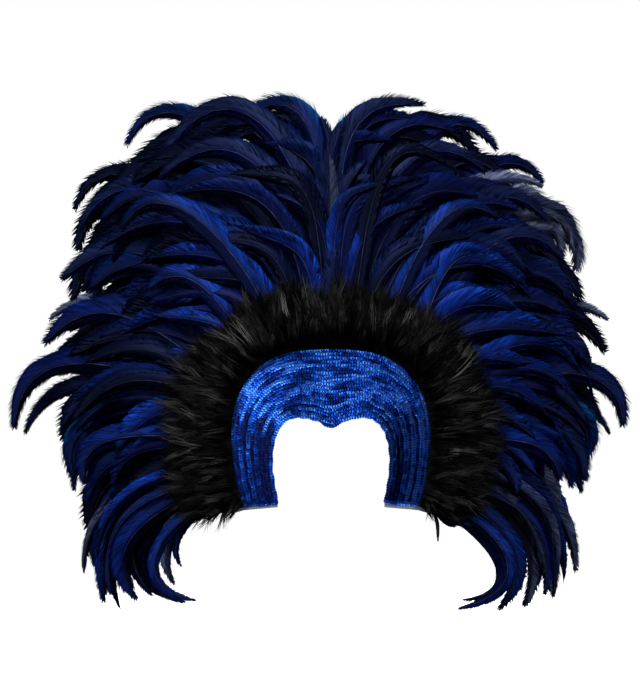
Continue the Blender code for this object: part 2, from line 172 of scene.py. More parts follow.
RIGHT_FEATHERS = [
    (0.000, 0.035, 0.900, 25, 0.40, 0.30, 0.95, 3, "slate"),
    (0.000, 0.015, 0.520, 6, 0.40, 0.40, 0.75, 1, "slate"),
    (0.005, 0.240, 0.925, 108, 0.80, 0.35, 1.05, 4, "cyan"),
    (0.015, 0.240, 0.890, 105, 0.80, 0.40, 1.50, 5, "black"),
    (0.01, 0.110, 0.790, 45, 0.45, 0.35, 0.90, 2, "slate"),
    (0.02, 0.300, 0.965, 98, 0.62, 0.42, 1.00, 3, "slate"),
    (0.04, 0.400, 0.880, 115, 0.60, 0.42, 0.95, 4, "navy"),
    (0.03, 0.330, 0.840, 112, 0.78, 0.45, 1.60, 5, "black"),
    (0.06, 0.490, 0.755, 135, 0.62, 0.45, 1.00, 2, "slate"),
    (0.08, 0.460, 0.820, 140, 0.68, 0.45, 1.40, 5, "black"),
    (0.10, 0.530, 0.825, 148, 0.62, 0.43, 1.05, 5, "cyan"),
    (0.12, 0.560, 0.720, 150, 0.56, 0.40, 1.30, 5, "black"),
    (0.14, 0.675, 0.715, 122, 0.42, 0.32, 0.95, 4, "grey"),
    (0.16, 0.675, 0.720, 155, 0.45, 0.36, 1.10, 5, "navy"),
    (0.19, 0.700, 0.600, 165, 0.50, 0.40, 1.20, 5, "grey"),
    (0.22, 0.775, 0.455, 195, 0.43, 0.48, 1.25, 5, "grey"),
    (0.24, 0.725, 0.500, 185, 0.50, 0.45, 1.20, 5, "grey"),
    (0.25, 0.770, 0.520, 178, 0.50, 0.45, 1.20, 4, "dove"),
    (0.26, 0.685, 0.610, 140, 0.55, 0.45, 1.05, 3, "slate"),
    (0.27, 0.720, 0.415, 175, 0.60, 0.45, 1.20, 4, "black"),
    (0.30, 0.660, 0.415, 170, 0.60, 0.45, 1.20, 5, "black"),
    (0.22, 0.530, 0.615, 130, 0.45, 0.42, 0.95, 1, "royal"),
    (0.34, 0.735, 0.490, 140, 0.55, 0.45, 1.05, 2, "slate"),
    (0.34, 0.505, 0.485, 120, 0.45, 0.45, 0.95, 1, "royal"),
    (0.42, 0.885, 0.305, 125, 0.45, 0.35, 0.80, 5, "grey"),
    (0.45, 0.775, 0.235, 140, 0.50, 0.50, 1.10, 3, "navy"),
    (0.36, 0.790, 0.370, 160, 0.50, 0.45, 1.30, 5, "black"),
    (0.42, 0.800, 0.300, 140, 0.50, 0.45, 1.30, 5, "black"),
    (0.48, 0.865, 0.205, 150, 0.50, 0.40, 1.10, 4, "black"),
    (0.57, 0.920, -0.040, 182, 0.48, 0.42, 1.05, 3, "navy"),
    (0.60, 0.885, -0.085, 155, 0.45, 0.35, 0.60, 5, "slate"),
    (0.61, 0.850, -0.010, 165, 0.50, 0.40, 1.00, 5, "black"),
    (0.64, 0.795, -0.220, 205, 0.60, 0.45, 1.05, 4, "cyan"),
    (0.66, 0.800, -0.330, 175, 0.60, 0.40, 1.00, 4, "slate"),
    (0.67, 0.790, -0.395, 172, 0.50, 0.45, 0.80, 5, "slate"),
    (0.70, 0.755, -0.360, 175, 0.55, 0.40, 1.00, 3, "navy"),
    (0.72, 0.720, -0.320, 170, 0.50, 0.40, 0.95, 1, "navy"),
    (0.77, 0.735, -0.600, 180, 0.50, 0.42, 1.30, 5, "black"),
    (0.79, 0.700, -0.730, 184, 0.50, 0.42, 1.20, 5, "black"),
    (0.80, 0.770, -0.815, 180, 0.48, 0.40, 0.70, 4, "smoke"),
    (0.85, 0.700, -0.945, 186, 0.50, 0.50, 0.85, 3, "slate"),
    (0.87, 0.670, -0.930, 190, 0.50, 0.50, 0.70, 2, "navy"),
    (0.88, 0.615, -0.990, 196, 0.50, 0.50, 0.60, 4, "smoke"),
    (0.89, 0.605, -0.995, 205, 0.50, 0.50, 0.80, 5, "royal"),
    (0.92, 0.525, -1.000, 222, 0.50, 0.50, 0.75, 2, "black"),
    (0.95, 0.395, -0.995, 258, 0.74, 0.78, 0.50, 1, "navy"),
    (0.98, 0.410, -0.950, 266, 0.70, 0.70, 0.40, 4, "slate"),
    (0.99, 0.440, -0.560, 105, 0.40, 0.35, 0.40, 1, "black"),
    (0.99, 0.390, -0.560, 115, 0.40, 0.35, 0.40, 2, "black"),
    (1.00, 0.335, -0.640, 175, 0.40, 0.35, 0.14, 1, "black"),
    (0.02, 0.300, 0.865, 108, 0.80, 0.42, 1.30, 5, "black"),
    (0.05, 0.420, 0.860, 125, 0.66, 0.42, 1.30, 5, "black"),
]

# Colours of a feather: its dye with painted light. Columns: outer half of the vane, where a painted sheen
# falls; inner half of the vane, mostly in painted shade; barb tips, whose bright cyan on the cyan feathers is
# a painted glint.
DYES_AND_PAINTED_LIGHT = {
    "royal": ((0.004, 0.036, 0.30), (0.0008, 0.004, 0.070), (0.002, 0.020, 0.16)),
    "navy": ((0.0015, 0.006, 0.066), (0.0005, 0.0015, 0.026), (0.001, 0.010, 0.090)),
    "slate": ((0.0062, 0.0105, 0.042), (0.0006, 0.0020, 0.044), (0.002, 0.010, 0.052)),
    "black": ((0.0006, 0.001, 0.009), (0.0003, 0.0004, 0.003), (0.0005, 0.002, 0.016)),
    "grey": ((0.110, 0.130, 0.215), (0.045, 0.056, 0.115), (0.090, 0.112, 0.200)),
    "smoke": ((0.044, 0.052, 0.088), (0.012, 0.016, 0.040), (0.050, 0.060, 0.098)),
    "dove": ((0.008, 0.012, 0.042), (0.130, 0.150, 0.250), (0.012, 0.018, 0.050)),
    "mist": ((0.045, 0.054, 0.100), (0.030, 0.036, 0.075), (0.010, 0.016, 0.050)),
    "cyan": ((0.001, 0.008, 0.075), (0.0005, 0.0015, 0.030), (0.0, 0.13, 0.32)),
}
# Dyes of the filling feathers in the front ring, the middle rings, the back rings and the low ends. The many
# black ones are partly black feathers and partly stand in for the shade between the feathers.
FILLER_DYES = [
    ["royal", "black", "slate", "royal", "black", "navy"],
    ["black", "navy", "slate", "royal", "slate", "black"],
    ["black", "slate", "navy", "black"],
    ["slate", "smoke", "navy", "royal", "slate", "black"],
]

# How much light reaches a feather along its length: the roots of the back rings lie in shadow.
# Columns: place, share of light.
FRONT_LIGHT = [(0.0, 0.40), (0.25, 0.80), (0.40, 1.00), (1.0, 0.80)]
MIDDLE_LIGHT = [(0.0, 0.20), (0.30, 0.50), (0.52, 1.00), (1.0, 0.80)]
BACK_LIGHT = [(0.0, 0.45), (0.40, 0.40), (0.66, 1.00), (1.0, 0.80)]
# A painted royal-blue sheen on the feathers just outside the fur. Columns: distance from the sequins in
# metres, strength.
ROYAL_SHEEN_BY_FUR = [(0.060, 0.6), (0.085, 1.0), (0.115, 0.8), (0.165, 0.15), (0.22, 0.0)]


def length_property(name, default, description):
    return FloatProperty(name=name, description=description, default=default, unit="LENGTH")


def colour_property(name, default, description):
    return FloatVectorProperty(name=name, description=description, default=default, subtype="COLOR")


class HeaddressSizes(bpy.types.PropertyGroup):
    """Sizes of the headdress"""

    band_half_width: length_property("Band Half Width", 0.1236, "From the middle to the sequins' outer edge")
    band_rise: length_property("Band Rise", 0.0884, "Height of the sequins above the brow")
    leg_drop: length_property("Leg Drop", 0.107, "Drop of the band's legs below the brow")
    face_half_width: length_property("Face Half Width", 0.073, "Half of the opening for the face")
    lobe_rise: length_property("Lobe Rise", 0.0035, "Rise of the two lobes beside the peak")
    flange_width: length_property("Flange Width", 0.012, "Bare edge of the band outside the sequins")
    hem_drop: length_property("Hem Drop", 0.005, "Bare edge below the sequins on the legs")
    head_radius: length_property("Head Radius", 0.2, "Radius of the bow round the forehead")
    buckram: length_property("Buckram", 0.002, "Thickness of the stiff band")
    sequin: length_property("Sequin", 0.0052, "Diameter of a sequin")
    row_pitch: length_property("Row Pitch", 0.0046, "Distance of strings, wider gaps get extra ones")
    sequin_pitch: length_property("Sequin Pitch", 0.0033, "Distance between sequins on a string")
    fur_reach: length_property("Fur Reach", 0.088, "Reach of the fur beyond the sequins")
    fur_core: length_property("Fur Core", 0.062, "Width of the skin that carries the fur")
    fur_height: length_property("Fur Height", 0.018, "Height of the collar's padding")
    fur_wisps: IntProperty(name="Fur Wisps", description="Number of fur wisps", default=2000)
    hairs: IntProperty(name="Hairs", description="Hairs in a wisp", default=8)
    fan_half_width: length_property("Fan Half Width", 0.3975, "From the middle to the widest tip")
    fan_rise: length_property("Fan Rise", 0.40875, "Height of the fan above the brow")
    fan_drop: length_property("Fan Drop", 0.236, "Drop of the lowest tips below the brow")
    feather_width: length_property("Feather Width", 0.045, "Width of a full feather")
    fillers: IntProperty(name="Fillers", description="Filling feathers on each side", default=90)


class HeaddressColours(bpy.types.PropertyGroup):
    """Colours of the headdress"""

    sequin: colour_property("Sequin", (0.0009, 0.028, 0.235), "Sequin blue")
    fur: colour_property("Fur", (0.0003, 0.0003, 0.0003), "Fur at the root")
    # Painted shine of the hairs that catch the light
    painted_fur_shine: colour_property("Fur Tip", (0.165, 0.163, 0.160), "Fur at the tip")
    buckram: colour_property("Buckram", (0.30, 0.36, 0.46), "Stiff band")
    shaft: colour_property("Shaft", (0.085, 0.115, 0.24), "Feather shafts")
    tape: colour_property("Tape", (0.008, 0.009, 0.014), "Sewing tape")


def sizes():
    return bpy.context.scene.headdress_sizes


def colour_of(name):
    return np.array(getattr(bpy.context.scene.headdress_colours, name))


# Shader maths


class Wire:
    """A socket's value, to be used in plain expressions."""

    def __init__(self, tree, socket):
        self.tree = tree
        self.socket = socket

    def maths(self, operation, *values):
        return add_node(self.tree, "ShaderNodeMath", {"operation": operation}, dict(enumerate(values)))

    def __add__(self, other):
        return self.maths("ADD", self, other)

    def __rsub__(self, other):
        return self.maths("SUBTRACT", other, self)

    def __mul__(self, other):
        return self.maths("MULTIPLY", self, other)

    def __pow__(self, other):
        return self.maths("POWER", self, other)

    __radd__ = __add__
    __rmul__ = __mul__

    def sine(self):
        return self.maths("SINE", self)

    def between(self, low, high):
        """0 at low, 1 at high and clamped outside."""
        sockets = {"Value": self, "From Min": low, "From Max": high}
        return add_node(self.tree, "ShaderNodeMapRange", {"clamp": True}, sockets)


def add_node(tree, kind, settings=None, sockets=None, output=0):
    """Add a node, apply its settings, fill its sockets and return one of its outputs."""
    node = tree.nodes.new(kind)
    for name, value in (settings or {}).items():
        setattr(node, name, value)
    for name, value in (sockets or {}).items():
        if isinstance(value, Wire):
            tree.links.new(value.socket, node.inputs[name])
        else:
            node.inputs[name].default_value = value
    return Wire(tree, node.outputs[output])


def blend_colours(tree, factor, first, second, mode="MIX"):
    """Mix two colours, each a wire or plain red, green and blue."""
    sockets = {0: factor}
    for place, colour in ((6, first), (7, second)):
        sockets[place] = colour if isinstance(colour, Wire) else (*colour, 1.0)
    return add_node(tree, "ShaderNodeMix", {"data_type": "RGBA", "blend_type": mode}, sockets, output=2)


def new_material(name, **plain):
    """A Principled material with its plain values set on the shader itself."""
    material = bpy.data.materials.new(name)
    material.use_nodes = True
    shader = material.node_tree.nodes["Principled BSDF"]
    for socket, value in plain.items():
        shader.inputs[socket.replace("_", " ")].default_value = value
    return material, material.node_tree, shader


def feed(tree, shader, **wires):
    for socket, wire in wires.items():
        tree.links.new(wire.socket, shader.inputs[socket.replace("_", " ")])


def noise(tree, vector, scale, detail=2.0):
    return add_node(tree, "ShaderNodeTexNoise", {}, {"Vector": vector, "Scale": scale, "Detail": detail})


def stretched_noise(tree, vector, scale):
    return noise(tree, add_node(tree, "ShaderNodeMapping", {}, {"Vector": vector, "Scale": scale}), 1.0)


def bump(tree, height, strength, distance):
    sockets = {"Height": height, "Strength": strength, "Distance": distance}
    return add_node(tree, "ShaderNodeBump", {}, sockets)


def object_place(tree):
    return add_node(tree, "ShaderNodeTexCoord", output="Object")


def pattern_place(tree):
    return add_node(tree, "ShaderNodeUVMap", {"uv_map": "pattern"})


def dye_and_light_of(tree):
    return add_node(tree, "ShaderNodeVertexColor", {"layer_name": "dye"})


def parts_of(tree, vector):
    node = tree.nodes.new("ShaderNodeSeparateXYZ")
    tree.links.new(vector.socket, node.inputs[0])
    return [Wire(tree, output) for output in node.outputs]


# Lines and arrows


def unit(vectors):
    """The same ways with length 1."""
    return vectors / np.maximum(1e-9, np.linalg.norm(vectors, axis=-1, keepdims=True))


def square_to(axis, vectors):
    """The ways of length 1 next to vectors that stand square to an axis."""
    return unit(vectors - axis * np.sum(vectors * axis, axis=-1, keepdims=True))


def standing(flat, depth):
    """Points in space from points of the front view and their depths."""
    return np.stack([flat[:, 0], depth, flat[:, 1]], axis=1)


def lengths_along(points):
    """Length of a line from its first point to each of its points."""
    return np.concatenate([[0.0], np.cumsum(np.linalg.norm(np.diff(points, axis=0), axis=1))])


def read_rows(places, known, rows):
    """Rows of a table, read at places between the known ones."""
    return np.stack([np.interp(places, known, column) for column in np.transpose(rows)], axis=-1)


def read_curve(places, curve):
    """Values at places of a curve that is given as rows of place and value."""
    return np.interp(places, *zip(*curve))


def smooth_line(points, steps):
    """A Catmull-Rom line through points, its first point mirrored across the middle plane."""
    guide = np.vstack([points[1] * [-1.0, 1.0], points, 2 * points[-1] - points[-2]])
    line = []
    for a, b, c, d in zip(guide, guide[1:], guide[2:], guide[3:]):
        for t in np.arange(steps) / steps:
            bend = 2 * a - 5 * b + 4 * c - d + t * (3 * b - a - 3 * c + d)
            line.append(b + 0.5 * t * (c - a + t * bend))
    return np.array([*line, points[-1]])


# Form of the headdress, seen from the front as x and z


class Form:
    """The band's outline and the depths of everything that hangs on it."""

    sweep_back = 0.4
    crown_lean = 0.22
    crown_lean_blend = 0.03
    lean_blend = 0.012
    tape_thickness = 0.004
    tape_width = 0.008
    clearance = 0.0003
    fur_slope = 0.15

    def __init__(self):
        self.size = size = sizes()
        outer_x, outer_z, inner_x, inner_z = np.transpose(BAND_OUTLINE)
        outer_z = outer_z * np.where(outer_z > 0, size.band_rise, size.leg_drop)
        inner_z = inner_z * np.where(inner_z > 0, size.lobe_rise, size.leg_drop)
        self.outer = smooth_line(np.stack([outer_x * size.band_half_width, outer_z], axis=1), CURVE_STEPS)
        self.inner = smooth_line(np.stack([inner_x * size.face_half_width, inner_z], axis=1), CURVE_STEPS)
        along = unit(np.gradient(self.outer, axis=0))
        self.normal = np.stack([-along[:, 1], along[:, 0]], axis=1)
        self.normal[0] = (0.0, 1.0)
        self.tape = self.outer + self.normal * (size.flange_width - self.clearance)

    @staticmethod
    def read(line, place):
        """Points at places from -1, the left end, through 0, the middle, to 1."""
        place = np.asarray(place, float)
        point = read_rows(np.abs(place), np.linspace(0.0, 1.0, len(line)), line)
        point[..., 0] *= np.where(place < 0, -1.0, 1.0)
        return point

    def across_band(self, place, across):
        """Points on the sequined field, from the face's edge at 0 to its outer edge at 1."""
        inner = self.read(self.inner, place)
        return inner + np.asarray(across)[..., None] * (self.read(self.outer, place) - inner)

    def outside(self, place, out):
        """Points at a distance outside the sequined field, and the ways out."""
        normal = unit(self.read(self.normal, place))
        return self.read(self.outer, place) + normal * np.asarray(out)[..., None], normal

    def beyond(self, x, z):
        """Distance from the sequined field's outer edge."""
        nearest = np.full(np.shape(x), np.inf)
        for edge_x, edge_z in self.outer[::2]:
            nearest = np.minimum(nearest, np.hypot(edge_x - np.abs(x), edge_z - z))
        return nearest

    def past_flange(self, x, z):
        return np.maximum(0.0, self.beyond(x, z) - self.size.flange_width)

    def depth(self, x, z):
        """Depth of the band's back face."""
        bow_length = self.sweep_back ** 2 * self.size.head_radius
        bow = np.hypot(self.sweep_back * x, bow_length) - bow_length
        blend = self.crown_lean_blend
        return bow + 0.5 * self.crown_lean * (np.hypot(z, blend) + z - blend)

    def fur_depth(self, x, z, height):
        front = self.size.buckram + self.clearance + self.fur_slope * self.past_flange(x, z)
        return self.depth(x, z) - front - height

    def ring_depth(self, ring, x, z):
        """Depth of a ring's feathers, which lean away from the band past its flange."""
        tape = (ring - 0.5) * (self.tape_thickness + self.clearance) + 0.5 * self.clearance
        out = np.hypot(self.past_flange(x, z), self.lean_blend) - self.lean_blend
        return self.depth(x, z) + tape + math.tan(math.radians(RING_LEAN[ring - 1])) * out

    def tape_root(self, side, share):
        """The point of a tape at a share of its length from the middle."""
        gone = lengths_along(self.tape)
        return read_rows(share * gone[-1], gone, self.tape) * [side, 1.0]


# Making meshes


def clear_selection():
    if bpy.context.object and bpy.context.object.mode != "OBJECT":
        bpy.ops.object.mode_set(mode="OBJECT")
    bpy.ops.object.select_all(action="DESELECT")


def select(piece):
    clear_selection()
    piece.select_set(True)
    bpy.context.view_layer.objects.active = piece


def edit(piece, mode="VERT"):
    """Open a piece in edit mode with all of it selected."""
    select(piece)
    bpy.ops.object.mode_set(mode="EDIT")
    bpy.ops.mesh.select_mode(type=mode)
    bpy.ops.mesh.select_all(action="SELECT")


def done_editing():
    bpy.ops.object.mode_set(mode="OBJECT")


def thicken(piece, thickness, offset=1.0):
    """Give a sheet its thickness and make its faces point outwards."""
    select(piece)
    modifier = piece.modifiers.new("thickness", "SOLIDIFY")
    modifier.thickness = thickness
    modifier.offset = offset
    bpy.ops.object.modifier_apply(modifier=modifier.name)
    edit(piece)
    bpy.ops.mesh.normals_make_consistent(inside=False)
    done_editing()


def numbers_of(items, field, columns, kind=float):
    """A field of a mesh's items as an array."""
    values = np.zeros(len(items) * columns, kind)
    items.foreach_get(field, values)
    return values.reshape(-1, columns)


def flat_list(values, kind=np.float32):
    return np.ascontiguousarray(values, kind).ravel()


def prototype_arrays(piece):
    """The corners and triangles of a modelled prototype, which is then removed."""
    mesh = piece.data
    mesh.calc_loop_triangles()
    corners = numbers_of(mesh.vertices, "co", 3)
    triangles = numbers_of(mesh.loop_triangles, "vertices", 3, int)
    bpy.data.objects.remove(piece)
    return corners, triangles


def repeat(triangles, corner_count, count):
    """Triangles of count copies whose corners follow each other."""
    return (triangles[None] + np.arange(count)[:, None, None] * corner_count).reshape(-1, 3)


def joined_mesh(name, corners, triangles, materials, dye, sheet, slots=None, pattern=None):
    """One object made of many small closed forms, given as arrays."""
    mesh = bpy.data.meshes.new(name)
    mesh.vertices.add(len(corners))
    mesh.vertices.foreach_set("co", flat_list(corners))
    mesh.loops.add(len(triangles) * 3)
    mesh.loops.foreach_set("vertex_index", flat_list(triangles, np.int32))
    mesh.polygons.add(len(triangles))
    mesh.polygons.foreach_set("loop_start", np.arange(0, len(triangles) * 3, 3, dtype=np.int32))
    for material in materials:
        mesh.materials.append(material)
    if slots is not None:
        mesh.polygons.foreach_set("material_index", flat_list(slots, np.int32))
    for layer_name, places in (("pattern", pattern), ("OFBake", sheet)):
        if places is not None:
            layer = mesh.uv_layers.new(name=layer_name)
            layer.data.foreach_set("uv", flat_list(places[triangles.ravel()]))
    # Each corner's colour: the form's own colour with the light and shade painted into it
    layer = mesh.color_attributes.new(name="dye", type="FLOAT_COLOR", domain="POINT")
    layer.data.foreach_set("color", flat_list(np.column_stack([dye, np.ones(len(dye))])))
    mesh.update(calc_edges=True)
    mesh.validate()
    mesh.shade_smooth()
    piece = bpy.data.objects.new(name, mesh)
    bpy.context.scene.collection.objects.link(piece)
    return piece


def shaped_sheet(name, columns, rows, place, thickness, material, offset=1.0):
    """A grid primitive whose corners go to place(u, v), with a thickness and a finish."""
    clear_selection()
    bpy.ops.mesh.primitive_grid_add(x_subdivisions=columns, y_subdivisions=rows, size=1.0)
    piece = bpy.context.object
    piece.name = name
    mesh = piece.data
    corners = numbers_of(mesh.vertices, "co", 3) + 0.5
    mesh.vertices.foreach_set("co", place(corners[:, 0], corners[:, 1]).ravel())
    mesh.update()
    thicken(piece, thickness, offset)
    mesh.materials.append(material)
    return piece


def seat(piece, slot, *nodes):
    """A finished piece rides on the headdress and stands for its nodes."""
    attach(piece, "root")
    if nodes:
        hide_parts(*nodes)


# Band


def buckram_finish():
    material, tree, shader = new_material("buckram_cloth", Roughness=0.9, Sheen_Weight=0.25)
    place = object_place(tree)
    x, _, z = parts_of(tree, place)
    thread = 2 * math.pi / 0.0011
    weave = (x * thread).sine() * (z * thread).sine()
    mottle = noise(tree, place, 60.0, 4.0)
    light = colour_of("buckram")
    base = blend_colours(tree, (weave * 0.3 + mottle).between(0.1, 0.9), 0.55 * light, light)
    feed(tree, shader, Base_Color=base, Normal=bump(tree, weave + mottle, 0.5, 0.0002))
    return material


class HEADDRESS_OT_band(bpy.types.Operator):
    """Make the stiff band with its flange and hem"""

    bl_idname = "headdress.band"
    bl_label = "Band"

    def execute(self, context):
        form = Form()
        size = form.size
        flange_share = 0.14

        def place(u, v):
            spot = 2.0 * u - 1.0
            across = np.minimum(1.0, v / (1.0 - flange_share))
            out = np.maximum(0.0, v - (1.0 - flange_share)) / flange_share * size.flange_width
            point = form.across_band(spot, across) + form.outside(spot, out)[0] - form.read(form.outer, spot)
            point[:, 1] -= np.where((u < 1e-4) | (u > 1 - 1e-4), size.hem_drop, 0.0)
            return standing(point, form.depth(*point.T))

        band = shaped_sheet("buckram_band", 120, 21, place, size.buckram, buckram_finish())
        band.data.shade_smooth()
        select(band)
        bpy.ops.object.shade_smooth_by_angle(angle=math.radians(40))
        seat(band, "buckram", "buckram_base")
        return {"FINISHED"}


# Sequins

# The lightest and the darkest sequins, the ends of the painted glints and painted shade that set each
# sequin's colour
BRIGHT_SEQUIN = np.array((0.022, 0.098, 0.42))
DARK_SEQUIN = np.array((0.0002, 0.0015, 0.028))

# Brightness of each full string on the legs, from the face outwards, and of the extra strings
STRING_LEVELS = [0.55, -0.30, -0.80, -0.65, 0.15, -0.25, 0.45, -0.35, 0.50, 0.10, 0.40]
EXTRA_LEVELS = [0.15, -0.1, 0.3, -0.35, 0.35, 0.0, 0.25, -0.2, 0.1, 0.0]
END_LEVEL = 0.7

# Heights over the ground cloth in metres: of a sequin, and more for an extra and for an end string
SEQUIN_LIFT = 0.0014
EXTRA_LIFT = 0.0002
END_LIFT = 0.0007

# The outermost strings lie inside the field's edges by this share of the strings' distance
STRING_EDGE = 0.20

# How far hand sewing lets a string wander, in metres, and where the end string crosses a leg
STRING_WANDER = 0.0005
END_PLACE = 0.992

# Slant of a sequin on the next one of its string, and the spread of its slant and roll, in degrees
SLANT = 15
SLANT_SPREAD = 2.5
ROLL_SPREAD = 3.0

# Spread of the sequins' sizes, as shares, and of their brightness
SEQUIN_SPREAD = (0.95, 1.05)
TONE_SPREAD = 0.45

# Where the legs' way of shining takes over from the forehead's, and how much painted shade darkens each leg
# and painted light brightens it
LEG_BEGINS = 0.42
LEG_BLEND = 0.25
LEFT_LEG_PAINTED_LIGHT = -0.72
RIGHT_LEG_PAINTED_LIGHT = 0.02


def sequin_prototype():
    """A cupped sequin of radius 1 with a dimple in the middle, its cup opening towards +Z."""
    clear_selection()
    bpy.ops.mesh.primitive_circle_add(vertices=8, radius=1.0, fill_type="NGON")
    disc = bpy.context.object
    edit(disc, "FACE")
    bpy.ops.mesh.inset(thickness=0.42)
    bpy.ops.transform.translate(value=(0.0, 0.0, -0.13))
    done_editing()
    thicken(disc, 0.09, -1.0)
    return prototype_arrays(disc)


def sequin_finish():
    material, tree, shader = new_material("sequin_film", Specular_IOR_Level=0.5, Metallic=0.95)
    u, v, _ = parts_of(tree, pattern_place(tree))
    dye = dye_and_light_of(tree)
    radius = ((u * u) + (v * v)) ** 0.5
    pierced = radius.between(0.30, 0.20)
    # A painted highlight on each sequin's rim
    painted_sheen = blend_colours(tree, radius.between(0.66, 0.86), dye, dye, "ADD")
    base = blend_colours(tree, pierced * 0.85, painted_sheen, (0.001, 0.003, 0.02))
    speck = noise(tree, object_place(tree), 700.0, 1.0)
    feed(tree, shader, Base_Color=base, Roughness=0.28 + speck * 0.2)
    return material


def sequin_ground_finish():
    material, tree, shader = new_material("sequin_ground_cloth", Roughness=0.85)
    grain = noise(tree, object_place(tree), 700.0, 3.0)
    base = blend_colours(tree, grain, (0.001, 0.004, 0.02), (0.003, 0.02, 0.10))
    feed(tree, shader, Base_Color=base, Normal=bump(tree, grain, 0.4, 0.0003))
    return material


class HEADDRESS_OT_sequins(bpy.types.Operator):
    """Sew the sequin rows on the band"""

    bl_idname = "headdress.sequins"
    bl_label = "Sequins"

    def execute(self, context):
        form = Form()
        size = form.size
        rng = np.random.default_rng(41)
        ground_front = size.buckram + form.clearance

        def place(u, v):
            point = form.across_band(2.0 * u - 1.0, v)
            return standing(point, form.depth(*point.T) - ground_front)

        seat(shaped_sheet("sequin_ground", 96, 8, place, 0.0006, sequin_ground_finish()), "sequins")
        centres, ways, tones, lifts = self.lay_strings(form, rng)
        corners, triangles = sequin_prototype()
        count = len(centres)
        radius = 0.5 * size.sequin * rng.uniform(*SEQUIN_SPREAD, count)
        out, axes = self.turn_sequins(form, rng, centres, ways)
        centre = standing(centres, form.depth(*centres.T) - size.buckram)
        centre += out * (form.clearance + SEQUIN_LIFT + lifts)[:, None]
        spots = centre[:, None] + corners * radius[:, None, None] @ axes
        pattern = np.tile(corners[:, :2], (count, 1))
        # On the sheet each sequin has a cell of its own
        cells = math.ceil(math.sqrt(count))
        cell = np.repeat(np.arange(count), len(corners))
        sheet = (np.stack([cell % cells, cell // cells], axis=1) + 0.5 + 0.45 * pattern) / cells
        rows = joined_mesh(
            "sequin_rows", spots.reshape(-1, 3), repeat(triangles, len(corners), count), [sequin_finish()],
            np.repeat(tones, len(corners), axis=0), sheet, pattern=pattern)
        rows.data.set_sharp_from_angle(angle=math.radians(60))
        seat(rows, "sequins", "sequin_field")
        return {"FINISHED"}

    def turn_sequins(self, form, rng, centres, ways):
        """The ways out of the band, and each sequin's axes: along its string, across it and out of it."""
        x, z = centres.T
        count = len(centres)
        step = 0.002
        slope_x = (form.depth(x + step, z) - form.depth(x - step, z)) / (2 * step)
        slope_z = (form.depth(x, z + step) - form.depth(x, z - step)) / (2 * step)
        out = unit(np.stack([slope_x, -np.ones(count), slope_z], axis=1))
        along = square_to(out, standing(ways, np.zeros(count)))
        across = np.cross(out, along)
        # Each sequin lies on the next one, so it tips up along the string, and wobbles a little
        tip = (math.radians(SLANT) + rng.normal(0.0, math.radians(SLANT_SPREAD), count))[:, None]
        roll = rng.normal(0.0, math.radians(ROLL_SPREAD), count)[:, None]
        face = unit(out * np.cos(tip) + along * np.sin(tip) + across * np.sin(roll))
        along = square_to(face, along)
        return out, np.stack([along, np.cross(face, along), face], axis=1)

    def lay_strings(self, form, rng):
        """Strings of sequins along the band: centres, ways, colours and lifts."""
        size = form.size
        base = colour_of("sequin")
        found = []

        def lay(place, across, level, lift=0.0):
            points = form.across_band(place, across)
            points += STRING_WANDER * np.sin(np.arange(len(points)) / 9.0 + 31.0 * level)[:, None]
            gone = lengths_along(points)
            spots = np.arange(0.2 * size.sequin, gone[-1] - 0.1 * size.sequin, size.sequin_pitch)
            centres = read_rows(spots, gone, points)
            ways = unit(read_rows(spots + 0.001, gone, points) - read_rows(spots - 0.001, gone, points))
            place = np.interp(spots, gone, place)
            # Patches that catch the light: wide ones on the forehead, and streaks along each string
            x, z = centres.T
            patch = np.sin(x / 0.0125 + 2.2 * np.sin(z / 0.012))
            patch *= np.sin(z / 0.0088 + 1.7 * np.sin(x / 0.016))
            streak = np.sin(spots / 0.0085 + 40.0 * level) + np.sin(spots / 0.0147 + 23.0 * level)
            leg = np.clip((np.abs(place) - LEG_BEGINS) / LEG_BLEND, 0.0, 1.0)
            tone = (1.0 - leg) * (0.05 + 0.32 * patch + 0.34 * streak + 0.5 * level)
            tone += leg * (level + 0.16 * streak + np.where(place < 0, LEFT_LEG_PAINTED_LIGHT, RIGHT_LEG_PAINTED_LIGHT))
            tone = np.tanh(2.0 * tone + rng.normal(0.0, TONE_SPREAD, len(spots)))[:, None]
            # Each sequin's colour moves from the sequin blue towards the bright painted glint where its tone
            # is above nought, and towards the dark painted shade below
            dye = base + np.where(tone > 0, tone * (BRIGHT_SEQUIN - base), -tone * (DARK_SEQUIN - base))
            found.append((centres, ways, dye, np.full(len(spots), lift)))

        spot = np.linspace(-1.0, 1.0, 1200)
        width = np.linalg.norm(form.read(form.outer, spot) - form.read(form.inner, spot), axis=1)
        steps = len(STRING_LEVELS) - 1 + 2 * STRING_EDGE
        for row, level in enumerate(STRING_LEVELS):
            lay(spot, np.full(len(spot), (row + STRING_EDGE) / steps), level)
        # Extra strings begin where the full ones have spread apart on the way to the forehead
        for row, level in enumerate(EXTRA_LEVELS):
            gap = size.row_pitch * (1.30 + 0.10 * math.sin(2.3 * row))
            wide = np.flatnonzero(width / steps > gap)
            part = spot[wide[0]:wide[-1] + 1]
            lay(part, np.full(len(part), (row + 0.5 + STRING_EDGE) / steps), level, EXTRA_LIFT)
        # One string binds the end of each leg
        across = np.linspace(0.0, 1.0, 60)
        for side in (-1.0, 1.0):
            lay(np.full(len(across), side * END_PLACE), across, END_LEVEL, END_LIFT)
        return [np.concatenate(values) for values in zip(*found)]


# Fur

# Section of the collar's padding. Columns: place across, height of the padding.
FUR_SECTION = [(0.00, 0.10), (0.10, 0.55), (0.35, 1.00), (0.70, 0.85), (1.00, 0.25)]

# A hair's four places along its length, and its girths in metres at the first three of them
HAIR_PLACES = (0.0, 0.35, 0.7, 1.0)
HAIR_GIRTHS = (0.00038, 0.00036, 0.00024)

